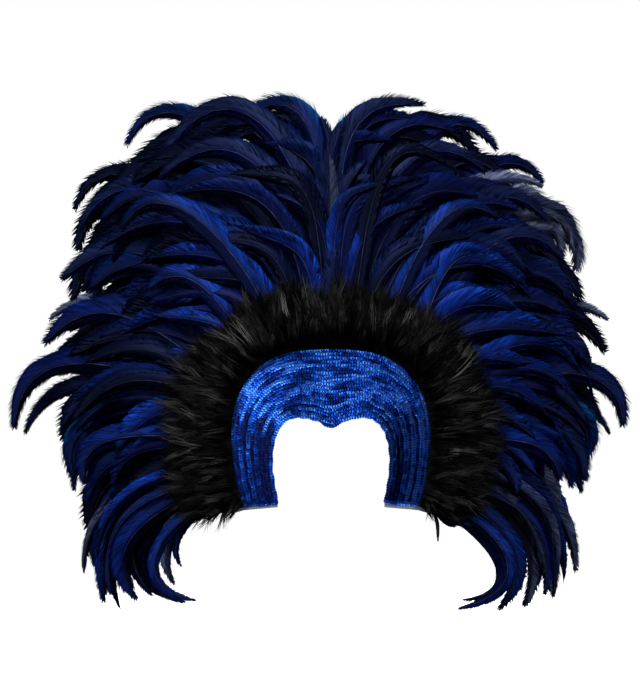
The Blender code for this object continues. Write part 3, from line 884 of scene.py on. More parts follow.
# How much a hair shines at its root, along it and at its point
HAIR_SHINE = np.array([0.12] * 3 + [0.75] * 3 + [0.80] * 3 + [0.70])

# Wisps that hang over the bare edge at the end of each leg
END_WISPS = 56

# Along the collar from the middle, 0, to a leg's end, 1: the wisps' length and reach as shares,
# their shine, and how far they turn inwards
WISP_LENGTH = [(0.86, 1.0), (1.0, 0.5)]
WISP_REACH = [(0.35, 1.0), (0.55, 1.12), (0.88, 1.12), (1.0, 0.95)]
WISP_SHINE = [(0.0, 0.70), (0.35, 0.85), (0.6, 1.0), (0.9, 1.1)]
WISP_TURN = [(0.90, 0.0), (1.0, 0.15)]

# Least and most length of a wisp, and its least room, in metres
WISP_LENGTHS = (0.034, 0.068)
LEAST_ROOM = 0.014

# How far the hairs' roots stray along and across the collar, in metres
ALONG_SPREAD = 0.0017
ACROSS_SPREAD = 0.0016

# About half of the collar's length in metres, along which the places run from 0 to 1
COLLAR_HALF_LENGTH = 0.26


def fur_finish():
    material, tree, shader = new_material("fur_hair", Specular_IOR_Level=0.012)
    streak = noise(tree, object_place(tree), 45.0, 2.0)
    base = blend_colours(tree, streak.between(0.40, 0.66) * 0.45, dye_and_light_of(tree), (0.0002, 0.0002, 0.0002))
    feed(tree, shader, Base_Color=base, Roughness=0.38 + streak * 0.3)
    return material


def fur_skin_finish():
    material, tree, shader = new_material("fur_skin", Roughness=0.95, Specular_IOR_Level=0.05)
    down = noise(tree, object_place(tree), 320.0, 4.0)
    base = blend_colours(tree, down, (0.0004, 0.0004, 0.0004), (0.003, 0.003, 0.003))
    feed(tree, shader, Base_Color=base, Normal=bump(tree, down, 0.8, 0.002))
    return material


def hair_forms(lines, turn):
    """Closed three-sided hairs along lines of four points: corners by hair, and the triangles of one."""
    corners = []
    for ring, girth in enumerate(HAIR_GIRTHS):
        along = unit(lines[:, ring + 1] - lines[:, ring])
        first = unit(np.cross(along, [0.0, 1.0, 0.0]))
        second = np.cross(along, first)
        for corner in range(3):
            angle = (turn + corner * 2.0 * math.pi / 3.0)[:, None]
            corners.append(lines[:, ring] + girth * (first * np.cos(angle) + second * np.sin(angle)))
    corners.append(lines[:, 3])
    faces = [(0, 2, 1), (6, 7, 9), (7, 8, 9), (8, 6, 9)]
    for low in (0, 3):
        for a, b in ((0, 1), (1, 2), (2, 0)):
            faces += [(low + a, low + b, low + 3 + b), (low + a, low + 3 + b, low + 3 + a)]
    return np.stack(corners, axis=1), np.array(faces)


class HEADDRESS_OT_fur(bpy.types.Operator):
    """Make the fur collar round the band"""

    bl_idname = "headdress.fur"
    bl_label = "Fur"

    def execute(self, context):
        form = Form()
        rng = np.random.default_rng(7)
        self.make_skin(form)
        for side, name in ((-1, "fur_left"), (1, "fur_right")):
            seat(joined_mesh(name, *self.grow(form, rng, side)), "fur", "fur_trim")
        return {"FINISHED"}

    def skin_height(self, form, across):
        return read_curve(across, FUR_SECTION) * form.size.fur_height

    def make_skin(self, form):
        first = 0.001

        def place(u, v):
            point, _ = form.outside(2.0 * u - 1.0, first + v * (form.size.fur_core - first))
            return standing(point, form.fur_depth(*point.T, 0.8 * self.skin_height(form, v)))

        seat(shaped_sheet("fur_skin", 120, 14, place, 0.0012, fur_skin_finish()), "fur", "fur_trim")

    def plan_wisps(self, wisps, rng, side):
        """Places along and across the collar, lean, droop, length, lift and shine of the wisps."""
        spot = side * np.clip((np.arange(wisps) + rng.uniform(0.0, 1.0, wisps)) / wisps, 0.0, 0.999)
        across = rng.uniform(0.0, 1.0, wisps) ** 0.8
        # The last wisps hang over the bare edge at the leg's end
        ends = slice(wisps - END_WISPS, wisps)
        spot[ends] = side * rng.uniform(0.950, 0.999, END_WISPS)
        across[ends] = rng.uniform(0.02, 0.75, END_WISPS)
        # Neighbouring wisps lean the same way, in waves round the collar
        wave = 0.20 * np.sin(38.0 * spot + 5.0 * across) + 0.12 * np.sin(91.0 * spot - 9.0 * across)
        wave -= side * read_curve(np.abs(spot), WISP_TURN)
        wave[ends] -= side * rng.uniform(-0.2, 0.8, END_WISPS)
        lean = wave + rng.normal(0.0, 0.13, wisps)
        droop = rng.normal(0.0, 0.20, wisps)
        length = rng.uniform(*WISP_LENGTHS, wisps) * read_curve(np.abs(spot), WISP_LENGTH)
        length[ends] *= rng.uniform(0.5, 1.0, END_WISPS)
        lift = rng.uniform(0.0, 1.0, wisps)
        # A few wisps catch the light, in clumps with black between them
        clump = 0.5 + 0.5 * np.sin(170.0 * spot + 2.5 * np.sin(47.0 * spot) + 2.0 * across)
        glow = rng.beta(0.55, 3.9, wisps) * (0.3 + 1.3 * lift) * (0.30 + 1.0 * clump)
        glow *= read_curve(np.abs(spot), WISP_SHINE)
        return spot, across, lean, droop, length, lift, glow

    def grow(self, form, rng, side):
        """The hairs of one side, in wisps that draw to a point, as a joined mesh takes them."""
        size = form.size
        core = size.fur_core
        wisps = size.fur_wisps // 2
        spot, across, lean, droop, length, lift, glow = self.plan_wisps(wisps, rng, side)
        # Each hair grows near its wisp's root and leans a little its own way
        count = wisps * size.hairs
        wisp = np.repeat(np.arange(wisps), size.hairs)
        root_out = np.clip(across[wisp] * core + rng.normal(0.0, ACROSS_SPREAD, count), 0.0015, core)
        stray = rng.normal(0.0, ALONG_SPREAD, count) / COLLAR_HALF_LENGTH
        root_spot = np.clip(spot[wisp] + stray, -0.999, 0.999)
        root, normal = form.outside(root_spot, root_out)
        centre, _ = form.outside(spot[wisp], across[wisp] * core)
        beside = np.stack([-normal[:, 1], normal[:, 0]], axis=1)
        aim = unit(normal + beside * (lean[wisp] + rng.normal(0.0, 0.05, count))[:, None])
        # No hair passes the collar's wavy outline by much
        limit = size.fur_reach * (0.97 + 0.07 * np.sin(17.0 * spot + 2.0 * side) + 0.05 * np.sin(43.0 * spot))
        limit *= read_curve(np.abs(spot), WISP_REACH)
        room = limit - across * core + rng.normal(0.0, 0.005, wisps)
        reach = np.minimum(length, np.maximum(LEAST_ROOM, room))[wisp] * rng.uniform(0.72, 1.12, count)
        side_way = np.stack([-aim[:, 1], aim[:, 0]], axis=1)
        bend = droop[wisp] + rng.normal(0.0, 0.08, count)
        lines = []
        for share in HAIR_PLACES:
            point = root + aim * (reach * share)[:, None] + side_way * (bend * reach * share ** 2)[:, None]
            point += (centre - root) * 0.8 * share
            skin = self.skin_height(form, np.clip((root_out + reach * share) / core, 0.0, 1.0))
            rise = (0.2 + 0.8 * lift[wisp]) * math.sin(math.pi * min(1.0, 0.12 + 0.72 * share))
            lines.append(standing(point, form.fur_depth(*point.T, skin * 0.85 + 0.0075 * rise)))
        corners, faces = hair_forms(np.stack(lines, axis=1), rng.uniform(0.0, 2.0 * math.pi, count))
        # Wisps near the sequins lie in shadow
        clear = np.clip((root_out + reach * 0.5 - 0.004) / 0.03, 0.25, 1.0)
        shine = np.clip(glow[wisp] * rng.uniform(0.5, 1.3, count), 0.0, 1.2) * clear
        # Hairs go from the black fur towards the painted shine as much as they catch the light
        black = colour_of("fur")
        dye = black + (shine[:, None] * HAIR_SHINE)[..., None] * (colour_of("painted_fur_shine") - black)
        # On the sheet, hairs stand side by side in order of their shine
        rank = np.argsort(np.argsort(shine)) / count
        in_cell = np.tile([0.0, 0.5, 1.0], 4)[:len(HAIR_SHINE)] / count
        sheet = np.stack([rank[:, None] + in_cell, np.broadcast_to(HAIR_SHINE, corners.shape[:2])], axis=-1)
        return (
            corners.reshape(-1, 3), repeat(faces, len(HAIR_SHINE), count), [fur_finish()],
            dye.reshape(-1, 3), sheet.reshape(-1, 2))


# Feathers

# Depth of one layer of feathers within a ring, in metres, and the layer of the middle feathers
LAYER_DEPTH = 0.0024
MIDDLE_LAYER = -4.0

# The tape's share past which feathers count as those of the low ends
LOW_END = 0.72

# Barbs to a metre of shaft on the lit side, by kind of feather, and the least number on a side
BARB_DENSITY = {"filling": 130.0, "black": 220.0, "charted": 400.0}
LEAST_BARBS = 16

# The inner half of a vane beside the outer one, in width and in number of barbs
INNER_SHARE = 0.6

# Radius of a shaft, thickness of a blade, half width of a barb to the front and its height, in metres
SHAFT_RADIUS = 0.00055
BLADE_THICKNESS = 0.0006
BARB_GIRTH = 0.00016
BARB_HEIGHT = 0.00012

# Share of the barbs that begin a new lock, and the spread of the locks' height in metres
LOCK_CHANCE = 0.22
LOCK_LIFT = 0.0003

# Along a shaft or a barb: its girth as a share of that at the root
SHAFT_TAPER = [(0.0, 1.0), (0.15, 0.85), (0.6, 0.5), (1.0, 0.2)]
BARB_TAPER = [(0.0, 1.0), (0.4, 0.9), (0.75, 0.60), (1.0, 0.10)]

# Along a feather: share of the half width that is closed, charted and filling, and that barbs grow from
CHARTED_COVER = [(0.0, 0.96), (0.45, 0.93), (0.75, 0.82), (1.0, 0.52)]
FILLING_COVER = [(0.0, 0.96), (0.45, 0.96), (0.75, 0.92), (1.0, 0.80)]
BARB_START = [(0.0, 0.62), (0.5, 0.52), (0.8, 0.25), (1.0, 0.05)]

# Strength of the royal feathers' painted sheen by metres from the sequins, along a feather and across it
ROYAL_SHEEN_OUT = [(0.09, 1.2), (0.13, 1.0), (0.18, 0.70), (0.24, 0.40)]
ROYAL_SHEEN_ALONG = [(0.0, 0.6), (0.2, 1.0), (0.65, 1.0), (1.0, 0.3)]
ROYAL_SHEEN_ACROSS = [(-0.2, 0.5), (0.5, 0.8), (1.0, 1.5)]

# Slow changes of shade along a feather. Columns: depth, speed.
SHADE_WAVES = [(0.22, 9.0), (0.16, 23.0), (0.10, 61.0)]


def vane_finish():
    """Dyed cock feather, with painted sheen and shade in its vertex colours: fine barb lines run out from the
    shaft, with a satin gloss that comes and goes.
    """
    material, tree, shader = new_material("feather_vane", Specular_IOR_Level=0.10)
    shader.inputs["Specular Tint"].default_value = (0.20, 0.32, 1.0, 1.0)
    place = pattern_place(tree)
    barbs = stretched_noise(tree, place, (340.0, 1.0, 1.0))
    locks = stretched_noise(tree, place, (130.0, 0.9, 1.0))
    mottle = noise(tree, object_place(tree), 34.0, 3.0)
    shade = barbs.between(0.43, 0.57) * 0.62 + locks.between(0.34, 0.64) * 0.22
    shade = shade + mottle.between(0.38, 0.62) * 0.18
    base = blend_colours(tree, 1.0 - shade, dye_and_light_of(tree), (0.02, 0.03, 0.10), "MULTIPLY")
    gloss = 0.32 + locks * 0.16 + barbs * 0.14
    feed(tree, shader, Base_Color=base, Roughness=gloss, Normal=bump(tree, barbs * 0.6 + locks, 0.6, 0.0006))
    return material


def shaft_finish():
    material, tree, shader = new_material("feather_shaft", Roughness=0.4, Specular_IOR_Level=0.3)
    streak = noise(tree, object_place(tree), 90.0, 3.0)
    base = blend_colours(tree, streak.between(0.36, 0.66), (0.002, 0.003, 0.006), dye_and_light_of(tree))
    feed(tree, shader, Base_Color=base, Normal=bump(tree, streak, 0.2, 0.0003))
    return material


def tape_finish():
    material, tree, shader = new_material("cotton_tape", Roughness=0.9, Specular_IOR_Level=0.2)
    x, y, z = parts_of(tree, object_place(tree))
    thread = 2 * math.pi / 0.0012
    twill = ((x + y + z) * thread).sine()
    base = blend_colours(tree, twill.between(-1.0, 1.0), (0.002, 0.002, 0.004), colour_of("tape"))
    feed(tree, shader, Base_Color=base, Normal=bump(tree, twill, 0.5, 0.0002))
    return material


def blade_prototype(steps, lanes):
    """A flat closed blade: x runs from 0 at the root to 1 at the tip, y from -1 to 1 across."""
    clear_selection()
    bpy.ops.mesh.primitive_grid_add(x_subdivisions=steps, y_subdivisions=lanes, size=2.0)
    blade = bpy.context.object
    edit(blade)
    bpy.ops.transform.resize(value=(0.5, 1.0, 1.0))
    bpy.ops.transform.translate(value=(0.5, 0.0, 0.0))
    done_editing()
    thicken(blade, 1.0, 0.0)
    return prototype_arrays(blade)


def spike_prototype(sides, cuts):
    """A closed spike that stands on its base of radius 1 and runs from z 0 to 1, cut into rings."""
    clear_selection()
    bpy.ops.mesh.primitive_cone_add(vertices=sides, radius1=1.0, radius2=0.0, depth=1.0)
    spike = bpy.context.object
    edit(spike)
    bpy.ops.transform.translate(value=(0.0, 0.0, 0.5))
    for cut in cuts:
        bpy.ops.mesh.select_all(action="SELECT")
        bpy.ops.mesh.bisect(plane_co=(0.0, 0.0, cut), plane_no=(0.0, 0.0, 1.0))
    done_editing()
    return prototype_arrays(spike)


def tapered(corners, taper):
    """A spike's corners with its even taper changed to the given one."""
    height = corners[:, 2]
    girth = read_curve(height, taper) / np.maximum(1e-6, 1.0 - height)
    girth = np.where(height > 0.999, 0.0, girth)
    return corners * np.stack([girth, girth, np.ones(len(corners))], axis=1)


def facing_out(corners, triangles):
    """Triangles turned so that they enclose a positive volume."""
    a, b, c = (corners[triangles[:, i]] for i in range(3))
    return triangles if np.sum(a * np.cross(b, c)) > 0 else triangles[:, ::-1]


def heading(degrees, side):
    angle = math.radians(degrees)
    return np.array([side * math.sin(angle), math.cos(angle)])


class Feather:
    """One feather: where it grows, how it bends, how it is dyed and where painted light and shade fall on it.
    """

    def __init__(self, form, side, row, layer, reach=1.0, turn=0.0, fine=True):
        self.form = form
        self.side = side
        self.share, tip_x, tip_z, self.arrive, self.root_stiff, self.tip_stiff, self.width = row[:7]
        self.ring, self.dye = row[7:]
        self.layer = layer
        self.fine = fine
        size = form.size
        tip = (side * tip_x * size.fan_half_width, tip_z * (size.fan_rise if tip_z > 0 else size.fan_drop))
        self.root = form.tape_root(side, self.share)
        cos, sin = math.cos(turn), math.sin(turn)
        self.tip = self.root + np.array([[cos, -sin], [sin, cos]]) @ (tip - self.root) * reach
        self.half_width = 0.5 * self.width * size.feather_width
        self.light = FRONT_LIGHT if self.ring == 1 else MIDDLE_LIGHT if self.ring < 4 else BACK_LIGHT

    def bend(self, rng):
        """Work out the shaft's points and its frame: along, towards the outer edge, to the front."""
        count = 48
        t = np.linspace(0.0, 1.0, count)[:, None]
        length = np.linalg.norm(self.tip - self.root)
        leave = read_curve(self.share, LEAVE_ANGLE)
        first = self.root + self.root_stiff * length * heading(leave, self.side)
        second = self.tip - self.tip_stiff * length * heading(self.arrive, self.side)
        flat = (1 - t) ** 3 * self.root + 3 * (1 - t) ** 2 * t * first
        flat += 3 * (1 - t) * t ** 2 * second + t ** 3 * self.tip
        # A layer parts from the next one over the first stretch outside the flange
        parted = np.minimum(1.0, self.form.past_flange(*flat.T) / 0.04)
        y = self.form.ring_depth(self.ring, *flat.T) + self.layer * LAYER_DEPTH * parted
        y += rng.normal(0.0, 0.005) * t[:, 0] ** 2
        points = standing(flat, y)
        # Even steps along the shaft
        gone = lengths_along(points)
        self.length = gone[-1]
        points = read_rows(np.linspace(0.0, self.length, count), gone, points)
        along = unit(np.gradient(points, axis=0))
        outer = square_to(along, self.side * along[:, [2, 1, 0]] * [-1.0, 0.0, 1.0])
        front = np.cross(along, outer)
        front *= np.sign(-front[:, 1:2])
        self.course = np.concatenate([points, along, outer, front], axis=1)
        self.roll = rng.normal(0.0, 0.16)
        self.twist = rng.normal(0.0, 0.25)
        self.roof = rng.uniform(0.15, 0.45)
        self.camber = rng.uniform(0.05, 0.25)
        self.lean = rng.uniform(1.9, 2.7) if self.fine else rng.uniform(1.6, 2.2)
        self.out = self.form.beyond(points[:, 0], points[:, 2])
        # How strongly the painted royal sheen near the fur shows on this feather
        self.royal_sheen = rng.uniform(0.0, 1.0) ** 2 if self.fine or self.ring == 1 else 0.0

    def half(self, s):
        """Half width of the vane at s, in metres."""
        return self.half_width * read_curve(s, VANE_PROFILE if self.fine else ROUND_PROFILE)

    def spot(self, s, a, height):
        """Points in space for places s on the shaft and a across, in half widths, and a height to the front.

        The barbs lean forward, so a point far from the shaft lies further along it.
        """
        wide = self.half(s)
        reach = np.abs(a) * wide
        room = np.maximum(0.01, (1.06 if self.fine else 1.03) - s)
        forward = self.lean * reach * (0.75 + 0.25 * np.abs(a)) / self.length
        gone = s + room * (1.0 - np.exp(-forward / room))
        over = np.maximum(0.0, gone - 1.0) * self.length
        course = read_rows(np.minimum(gone, 1.0), np.linspace(0.0, 1.0, len(self.course)), self.course)
        base, way, out, fore = np.split(course, 4, axis=-1)
        turn = (self.roll + self.twist * s)[..., None]
        tilted = out * np.cos(turn) + fore * np.sin(turn)
        facing = fore * np.cos(turn) - out * np.sin(turn)
        width = (a * wide * np.where(a < 0, INNER_SHARE, 1.0))[..., None]
        sink = (height - (self.roof * np.abs(a) + self.camber * a ** 2) * wide)[..., None]
        return base + way * over[..., None] + tilted * width + facing * sink

    def tone(self, s, a, shade):
        """Colour at places on the vane: the dye with a painted sheen on the outer half, painted shade that
        darkens the inner half, and barb tips.
        """
        outer, inner, tips = (np.array(colour) for colour in DYES_AND_PAINTED_LIGHT[self.dye])
        far = np.clip(a, 0.0, 1.0)
        # A filling feather's painted sheen fades from its outer edge to black at the shaft
        painted_sheen = np.clip(a / 0.10, 0.0, 1.0) * (0.5 + 0.5 * np.sin(far * 3.1)) if self.fine else far ** 1.6
        # Painted shade darkens the inner half towards its edge
        inner_painted_shade = 1.0 - 0.85 * np.clip(-a, 0.0, 1.0)
        colour = inner * inner_painted_shade[..., None] + painted_sheen[..., None] * (outer - inner)
        # Barb tips take the tips' colour, fully on the outer edge and a little on the inner; on the cyan
        # feathers it is a painted glint
        edge = np.clip((np.abs(a) - 0.68) / 0.4, 0.0, 1.0) * np.where(a > 0, 1.0, 0.15)
        colour += edge[..., None] * (tips - colour)
        out = np.interp(s, np.linspace(0.0, 1.0, len(self.out)), self.out)
        # Painted royal sheen just outside the fur, strongest on the lit outer half
        royal_sheen = read_curve(out, ROYAL_SHEEN_BY_FUR) * self.royal_sheen * (0.15 + 0.65 * painted_sheen)
        colour += royal_sheen[..., None] * (np.array(DYES_AND_PAINTED_LIGHT["royal"][0]) - colour)
        # Painted light: random changes of tone times the painted light along the feather, with painted shadow
        # over the roots of the back rings and more painted light on the low ends
        painted_light_gain = shade * read_curve(s, self.light) * (1.35 if self.share > LOW_END else 1.0)
        # Royal feathers carry a painted sheen: bright near the fur, in the middle of their length and towards
        # the outer edge
        if self.dye == "royal":
            painted_light_gain = painted_light_gain * read_curve(out, ROYAL_SHEEN_OUT) * read_curve(s, ROYAL_SHEEN_ALONG)
            if self.fine:
                painted_light_gain = painted_light_gain * read_curve(a, ROYAL_SHEEN_ACROSS)
        return colour * painted_light_gain[..., None]


class Plumage:
    """Collects the feathers of one ring into arrays."""

    def __init__(self, prototypes, count, seed):
        self.prototypes = prototypes
        self.rng = np.random.default_rng(seed)
        self.parts = []
        self.start = 0
        self.cells = math.ceil(math.sqrt(count))
        self.cell = -1

    def keep(self, corners, triangles, slot, s, a, dye):
        """Store a closed form with its pattern map and its place on the sheet of all feathers."""
        across = 0.90 + 0.02 * np.clip(a, 0.0, 1.0) if slot else 0.82 * np.clip(0.5 + a / 2.5, 0.0, 1.0)
        cell = [self.cell % self.cells, self.cell // self.cells]
        sheet = (np.stack([across, 0.92 * np.clip(s, 0.0, 1.0)], axis=1) + 0.04 + cell) / self.cells
        self.parts.append((
            corners, facing_out(corners, triangles) + self.start, np.full(len(triangles), slot),
            np.stack([s * self.feather.length, a], axis=1), dye, sheet))
        self.start += len(corners)

    def shade(self, s):
        """Slow changes of shade along the feather, alike on all its parts."""
        waves = zip(SHADE_WAVES, self.phases)
        return 1.0 + sum(depth * np.sin(speed * s + phase) for (depth, speed), phase in waves)

    def add(self, feather):
        self.cell += 1
        self.feather = feather
        feather.bend(self.rng)
        self.phases = self.rng.uniform(0.0, 6.3, len(SHADE_WAVES))
        blade, shaft, barb = self.prototypes[feather.fine]
        self.add_blade(*blade)
        self.add_shaft(*shaft)
        kind = "filling" if not feather.fine else "black" if feather.dye == "black" else "charted"
        for sign, share in ((1.0, 1.0), (-1.0, INNER_SHARE)):
            self.add_barbs(*barb, sign, max(LEAST_BARBS, int(BARB_DENSITY[kind] * feather.length * share)))

    def add_blade(self, corners, triangles):
        """The closed middle of the vane, narrower towards the tip, with a ragged edge."""
        feather = self.feather
        s = 0.02 + 0.97 * corners[:, 0]
        cover = read_curve(s, CHARTED_COVER if feather.fine else FILLING_COVER)
        # Each line of barbs has its own reach on either side
        lines = np.round(corners[:, 0] * 200).astype(int)
        ragged = self.rng.normal(1.0, 0.035, (2, 201))[(corners[:, 1] > 0).astype(int), lines]
        far = np.clip((np.abs(corners[:, 1]) - 0.5) / 0.5, 0.0, 1.0)
        a = corners[:, 1] * cover * (1.0 + (ragged - 1.0) * far)
        thickness = BLADE_THICKNESS * (1.0 - 0.6 * np.abs(corners[:, 1]))
        spots = feather.spot(s, a, corners[:, 2] * thickness)
        self.keep(spots, triangles, 0, s, a, feather.tone(s, a, self.shade(s)))

    def add_shaft(self, corners, triangles):
        feather = self.feather
        shaped = tapered(corners, SHAFT_TAPER)
        radius = SHAFT_RADIUS * (0.6 + 0.4 * feather.width)
        s = 0.999 * corners[:, 2]
        a = shaped[:, 0] * radius / np.maximum(1e-5, feather.half(s))
        spots = feather.spot(s, a, BLADE_THICKNESS + shaped[:, 1] * radius)
        # Painted shade along the shaft, following the feather's painted light, darker still on filling
        # feathers
        light = 0.8 * read_curve(s, feather.light) * (1.0 if feather.fine else 0.4)
        self.keep(spots, triangles, 1, s, corners[:, 0], light[:, None] * colour_of("shaft"))

    def add_barbs(self, corners, triangles, sign, count):
        """The fringe: single barbs that grow out of the blade and pass its edge."""
        feather = self.feather
        rng = self.rng
        root = np.linspace(0.05, 0.985, count) + rng.normal(0.0, 0.25 / count, count)
        # The barbs hold together in small locks, each with its own reach and lift
        lock = np.cumsum(rng.random(count) < LOCK_CHANCE)
        locks = lock.max() + 1
        reach = rng.normal(1.0 if feather.fine else 0.98, 0.03, locks)[lock] + rng.normal(0.0, 0.035, count)
        lift = rng.normal(0.0, LOCK_LIFT, locks)[lock, None]
        middle = np.bincount(lock, root)[lock] / np.bincount(lock)[lock]
        start = read_curve(root, BARB_START)[:, None]
        wide, high, t = tapered(corners, BARB_TAPER).T
        a = sign * (start + (reach[:, None] - start) * t)
        s = root[:, None] + (middle - root)[:, None] * 0.30 * t ** 2
        s = s + wide * 0.94 / count * (0.85 if feather.fine else 1.1)
        spots = feather.spot(s, a, BARB_HEIGHT + lift * t + high * BARB_GIRTH)
        shade = self.shade(s) * np.exp(rng.normal(-0.08, 0.42, count))[:, None]
        dye = feather.tone(s, a * 1.05, np.clip(shade, 0.25, 2.6))
        triangles = repeat(triangles, len(corners), count)
        self.keep(spots.reshape(-1, 3), triangles, 0, s.ravel(), a.ravel(), dye.reshape(-1, 3))

    def piece(self, name, materials):
        corners, triangles, slots, pattern, dye, sheet = (np.concatenate(part) for part in zip(*self.parts))
        return joined_mesh(name, corners, triangles, materials, dye, sheet, slots, pattern)


def fill_between(form, side, rows, rng):
    """Filling feathers of one side, each between two charted neighbours."""
    rows = sorted((row for row in rows if row[0] > 0), key=lambda row: row[0])
    shares = np.array([row[0] for row in rows])
    count = form.size.fillers
    found = []
    for index in range(count):
        share = 0.86 * ((index + rng.uniform(0.0, 1.0)) / count) ** 1.3
        after = int(np.clip(np.searchsorted(shares, share), 1, len(rows) - 1))
        first, second = rows[after - 1], rows[after]
        mix = np.clip((share - first[0]) / max(1e-6, second[0] - first[0]), 0.0, 1.0)
        row = [a + mix * (b - a) for a, b in zip(first[:7], second[:7])]
        row[0] = share
        row[3] += rng.normal(0.0, 9.0)
        row[4] *= rng.uniform(0.85, 1.15)
        ring = 1 + (2 * index) % len(RING_LEAN)
        row[6] *= rng.uniform(0.55, 0.90) if ring == 1 or share > 0.5 else rng.uniform(0.90, 1.25)
        reach = rng.uniform(*(FILLER_REACH[ring - 1] if share < 0.75 else (0.85, 1.0)))
        if share < LOW_END:
            # A shorter feather has turned less on its way to the tip
            leave = read_curve(share, LEAVE_ANGLE)
            row[3] = leave + (row[3] - leave) * (1.0 - 1.25 * (1.0 - reach))
        # The widest tips stand alone, so the filling stays behind them
        reach *= 1.0 - 0.8 * max(0.0, row[1] - 0.85)
        dyes = FILLER_DYES[3 if share > LOW_END else 0 if ring == 1 else 1 if ring < 4 else 2]
        dye = dyes[int(rng.integers(0, len(dyes)))]
        layer = rng.uniform(-0.4, 1.6)
        turn = rng.normal(0.0, math.radians(2.5))
        found.append(Feather(form, side, (*row, ring, dye), layer, reach, turn, fine=False))
    return found


def slot_of(ring):
    """The record's slot of a ring's feathers."""
    for part in frame["record"]["subparts"]:
        if part["node"] == "coque_fringe_%d" % ring:
            return part["material_slot"]
    raise ValueError("no slot for ring %d" % ring)


class HEADDRESS_OT_feathers(bpy.types.Operator):
    """Make the five rings of feathers and their tapes"""

    bl_idname = "headdress.feathers"
    bl_label = "Feathers"

    def execute(self, context):
        form = Form()
        rng = np.random.default_rng(2024)
        charted = []
        fillers = []
        for side, rows in ((-1, LEFT_FEATHERS), (1, RIGHT_FEATHERS)):
            for row in rows:
                layer = rng.uniform(-1.6, 0.2)
                charted.append(Feather(form, side, row, layer if row[0] > 0 else MIDDLE_LAYER))
            fillers += fill_between(form, side, rows, rng)
        shaft = spike_prototype(4, [0.05 * step for step in range(1, 20)])
        prototypes = {
            True: (blade_prototype(34, 8), shaft, spike_prototype(3, [0.6])),
            False: (blade_prototype(26, 6), shaft, spike_prototype(3, [0.55])),
        }
        materials = [vane_finish(), shaft_finish()]
        tape = tape_finish()
        for ring in range(1, len(RING_LEAN) + 1):
            feathers = [feather for feather in charted + fillers if feather.ring == ring]
            plumage = Plumage(prototypes, len(feathers), 100 + ring)
            for feather in feathers:
                plumage.add(feather)
            piece = plumage.piece("coque_feathers_%d" % ring, materials)
            seat(piece, slot_of(ring), "coque_fringe_%d" % ring)
            self.make_tape(form, ring, tape)
        return {"FINISHED"}

    def make_tape(self, form, ring, material):
        front = (ring - 1) * (form.tape_thickness + form.clearance) + form.clearance

        def place(u, v):
            out = form.size.flange_width + (v - 0.5) * form.tape_width
            point, _ = form.outside(2.0 * u - 1.0, out)
            return standing(point, form.depth(*point.T) + front)

        name = "fringe_tape_%d" % ring
        seat(shaped_sheet(name, 90, 3, place, form.tape_thickness, material, -1.0), slot_of(ring))


# Stage

# Columns: name, place, width, power, height of the point it is aimed at
LIGHTS = [
    ("top_light", (-0.3, -0.9, 2.6), 1.1, 95.0, 0.10),
    ("left_light", (-2.7, -1.9, 0.9), 1.0, 55.0, 0.05),
    ("right_light", (2.8, -1.8, 0.9), 1.0, 54.0, 0.05),
    ("front_light", (0.5, -4.4, 1.4), 1.0, 34.0, 0.05),
    ("rear_light", (0.4, 2.4, 1.9), 1.2, 60.0, 0.10),
    ("rear_left_light", (-2.2, 2.6, 0.6), 1.2, 90.0, 0.05),
    ("rear_right_light", (2.2, 2.6, 0.6), 1.2, 90.0, 0.05),
]


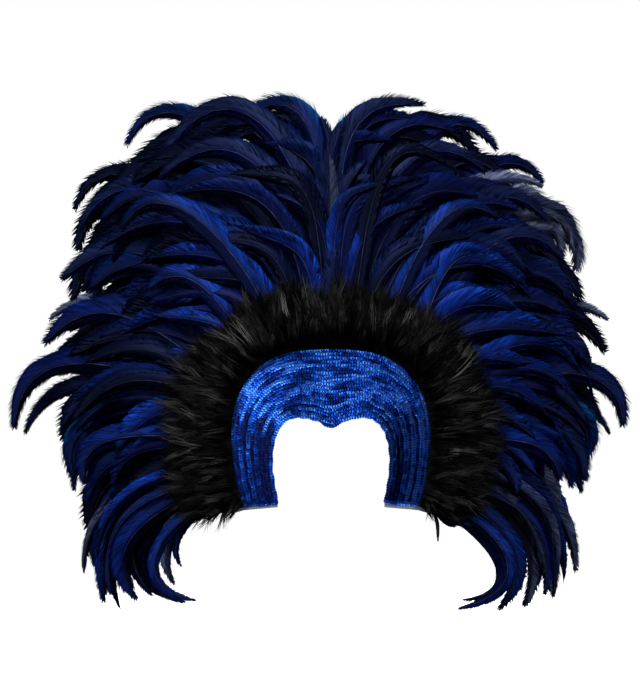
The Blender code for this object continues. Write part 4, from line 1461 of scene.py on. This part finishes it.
class HEADDRESS_OT_stage(bpy.types.Operator):
    """Make the pale floor, the soft lights and the camera"""

    bl_idname = "headdress.stage"
    bl_label = "Stage"

    def execute(self, context):
        self.make_floor()
        for light in LIGHTS:
            self.make_light(*light)
        self.make_room()
        self.make_camera()
        context.scene.view_settings.view_transform = "Standard"
        return {"FINISHED"}

    def make_floor(self):
        low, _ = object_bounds()
        gap = 0.03
        radius = 40.0
        clear_selection()
        bpy.ops.mesh.primitive_circle_add(vertices=96, radius=radius, fill_type="NGON")
        floor = bpy.context.object
        floor.name = "pale_floor"
        edit(floor)
        bpy.ops.transform.translate(value=(0.0, 0.0, low[2] - gap))
        done_editing()
        material, tree, shader = new_material("pale_paper", Roughness=0.9, Emission_Strength=1.0)
        shader.inputs["Emission Color"].default_value = (1.0, 1.0, 1.0, 1.0)
        grain = noise(tree, object_place(tree), 30.0, 2.0)
        feed(tree, shader, Base_Color=blend_colours(tree, grain, (0.78, 0.78, 0.78), (0.84, 0.84, 0.84)))
        floor.data.materials.append(material)
        floor.visible_diffuse = False
        floor.visible_glossy = False
        floor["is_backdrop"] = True

    def make_light(self, name, place, width, power, aim):
        light = bpy.data.lights.new(name, "AREA")
        light.shape = "SQUARE"
        light.size = width
        light.energy = power
        lamp = bpy.data.objects.new(name, light)
        lamp.location = place
        way = Vector((0.0, 0.0, aim)) - Vector(place)
        lamp.rotation_euler = way.to_track_quat("-Z", "Y").to_euler()
        # The rear lights brighten the back without a pale rim on the barbs
        lamp.visible_glossy = place[1] < 0
        bpy.context.scene.collection.objects.link(lamp)

    def make_room(self):
        """A soft grey room that the camera sees as white paper."""
        world = bpy.data.worlds.new("studio")
        world.use_nodes = True
        tree = world.node_tree
        room = tree.nodes["Background"]
        paper = tree.nodes.new("ShaderNodeBackground")
        for background, strength in ((room, 0.06), (paper, 1.0)):
            background.inputs["Color"].default_value = (1.0, 1.0, 1.0, 1.0)
            background.inputs["Strength"].default_value = strength
        seen = add_node(tree, "ShaderNodeLightPath", output="Is Camera Ray")
        sockets = {0: seen, 1: Wire(tree, room.outputs[0]), 2: Wire(tree, paper.outputs[0])}
        mix = add_node(tree, "ShaderNodeMixShader", {}, sockets)
        tree.links.new(mix.socket, tree.nodes["World Output"].inputs["Surface"])
        bpy.context.scene.world = world

    def make_camera(self):
        # The photograph is 640 px wide at 1.25 mm a pixel; the band's middle stands at x 331, y 420
        pixel = 0.00125
        width, height = 640, 700
        middle_x, brow_y = 331, 420
        plane = 0.09
        distance = 16.0
        camera = bpy.data.cameras.new("front_camera")
        camera.sensor_fit = "HORIZONTAL"
        camera.sensor_width = 36.0
        camera.lens = camera.sensor_width * distance / (width * pixel)
        camera.clip_end = 60.0
        lens = bpy.data.objects.new("front_camera", camera)
        lens.location = ((0.5 * width - middle_x) * pixel, plane - distance, (brow_y - 0.5 * height) * pixel)
        lens.rotation_euler = (math.radians(90), 0.0, 0.0)
        bpy.context.scene.collection.objects.link(lens)
        bpy.context.scene.camera = lens


class HEADDRESS_PT_panel(bpy.types.Panel):
    """The headdress's pieces, sizes and colours"""

    bl_idname = "HEADDRESS_PT_panel"
    bl_label = "Headdress"
    bl_space_type = "VIEW_3D"
    bl_region_type = "UI"
    bl_category = "Headdress"

    def draw(self, context):
        for kind in MAKERS:
            self.layout.operator(kind.bl_idname)
        for group in (context.scene.headdress_sizes, context.scene.headdress_colours):
            for name in group.bl_rna.properties.keys():
                if name not in ("rna_type", "name"):
                    self.layout.prop(group, name)


MAKERS = (
    HEADDRESS_OT_band, HEADDRESS_OT_sequins, HEADDRESS_OT_fur, HEADDRESS_OT_feathers, HEADDRESS_OT_stage)
CLASSES = (HeaddressSizes, HeaddressColours, *MAKERS, HEADDRESS_PT_panel)


def register():
    for kind in CLASSES:
        bpy.utils.register_class(kind)
    bpy.types.Scene.headdress_sizes = PointerProperty(type=HeaddressSizes)
    bpy.types.Scene.headdress_colours = PointerProperty(type=HeaddressColours)


def unregister():
    del bpy.types.Scene.headdress_colours
    del bpy.types.Scene.headdress_sizes
    for kind in reversed(CLASSES):
        bpy.utils.unregister_class(kind)


def main():
    register()
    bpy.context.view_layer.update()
    bpy.ops.headdress.band()
    bpy.ops.headdress.sequins()
    bpy.ops.headdress.fur()
    bpy.ops.headdress.feathers()
    bpy.ops.headdress.stage()


if __name__ == "__main__":
    main()
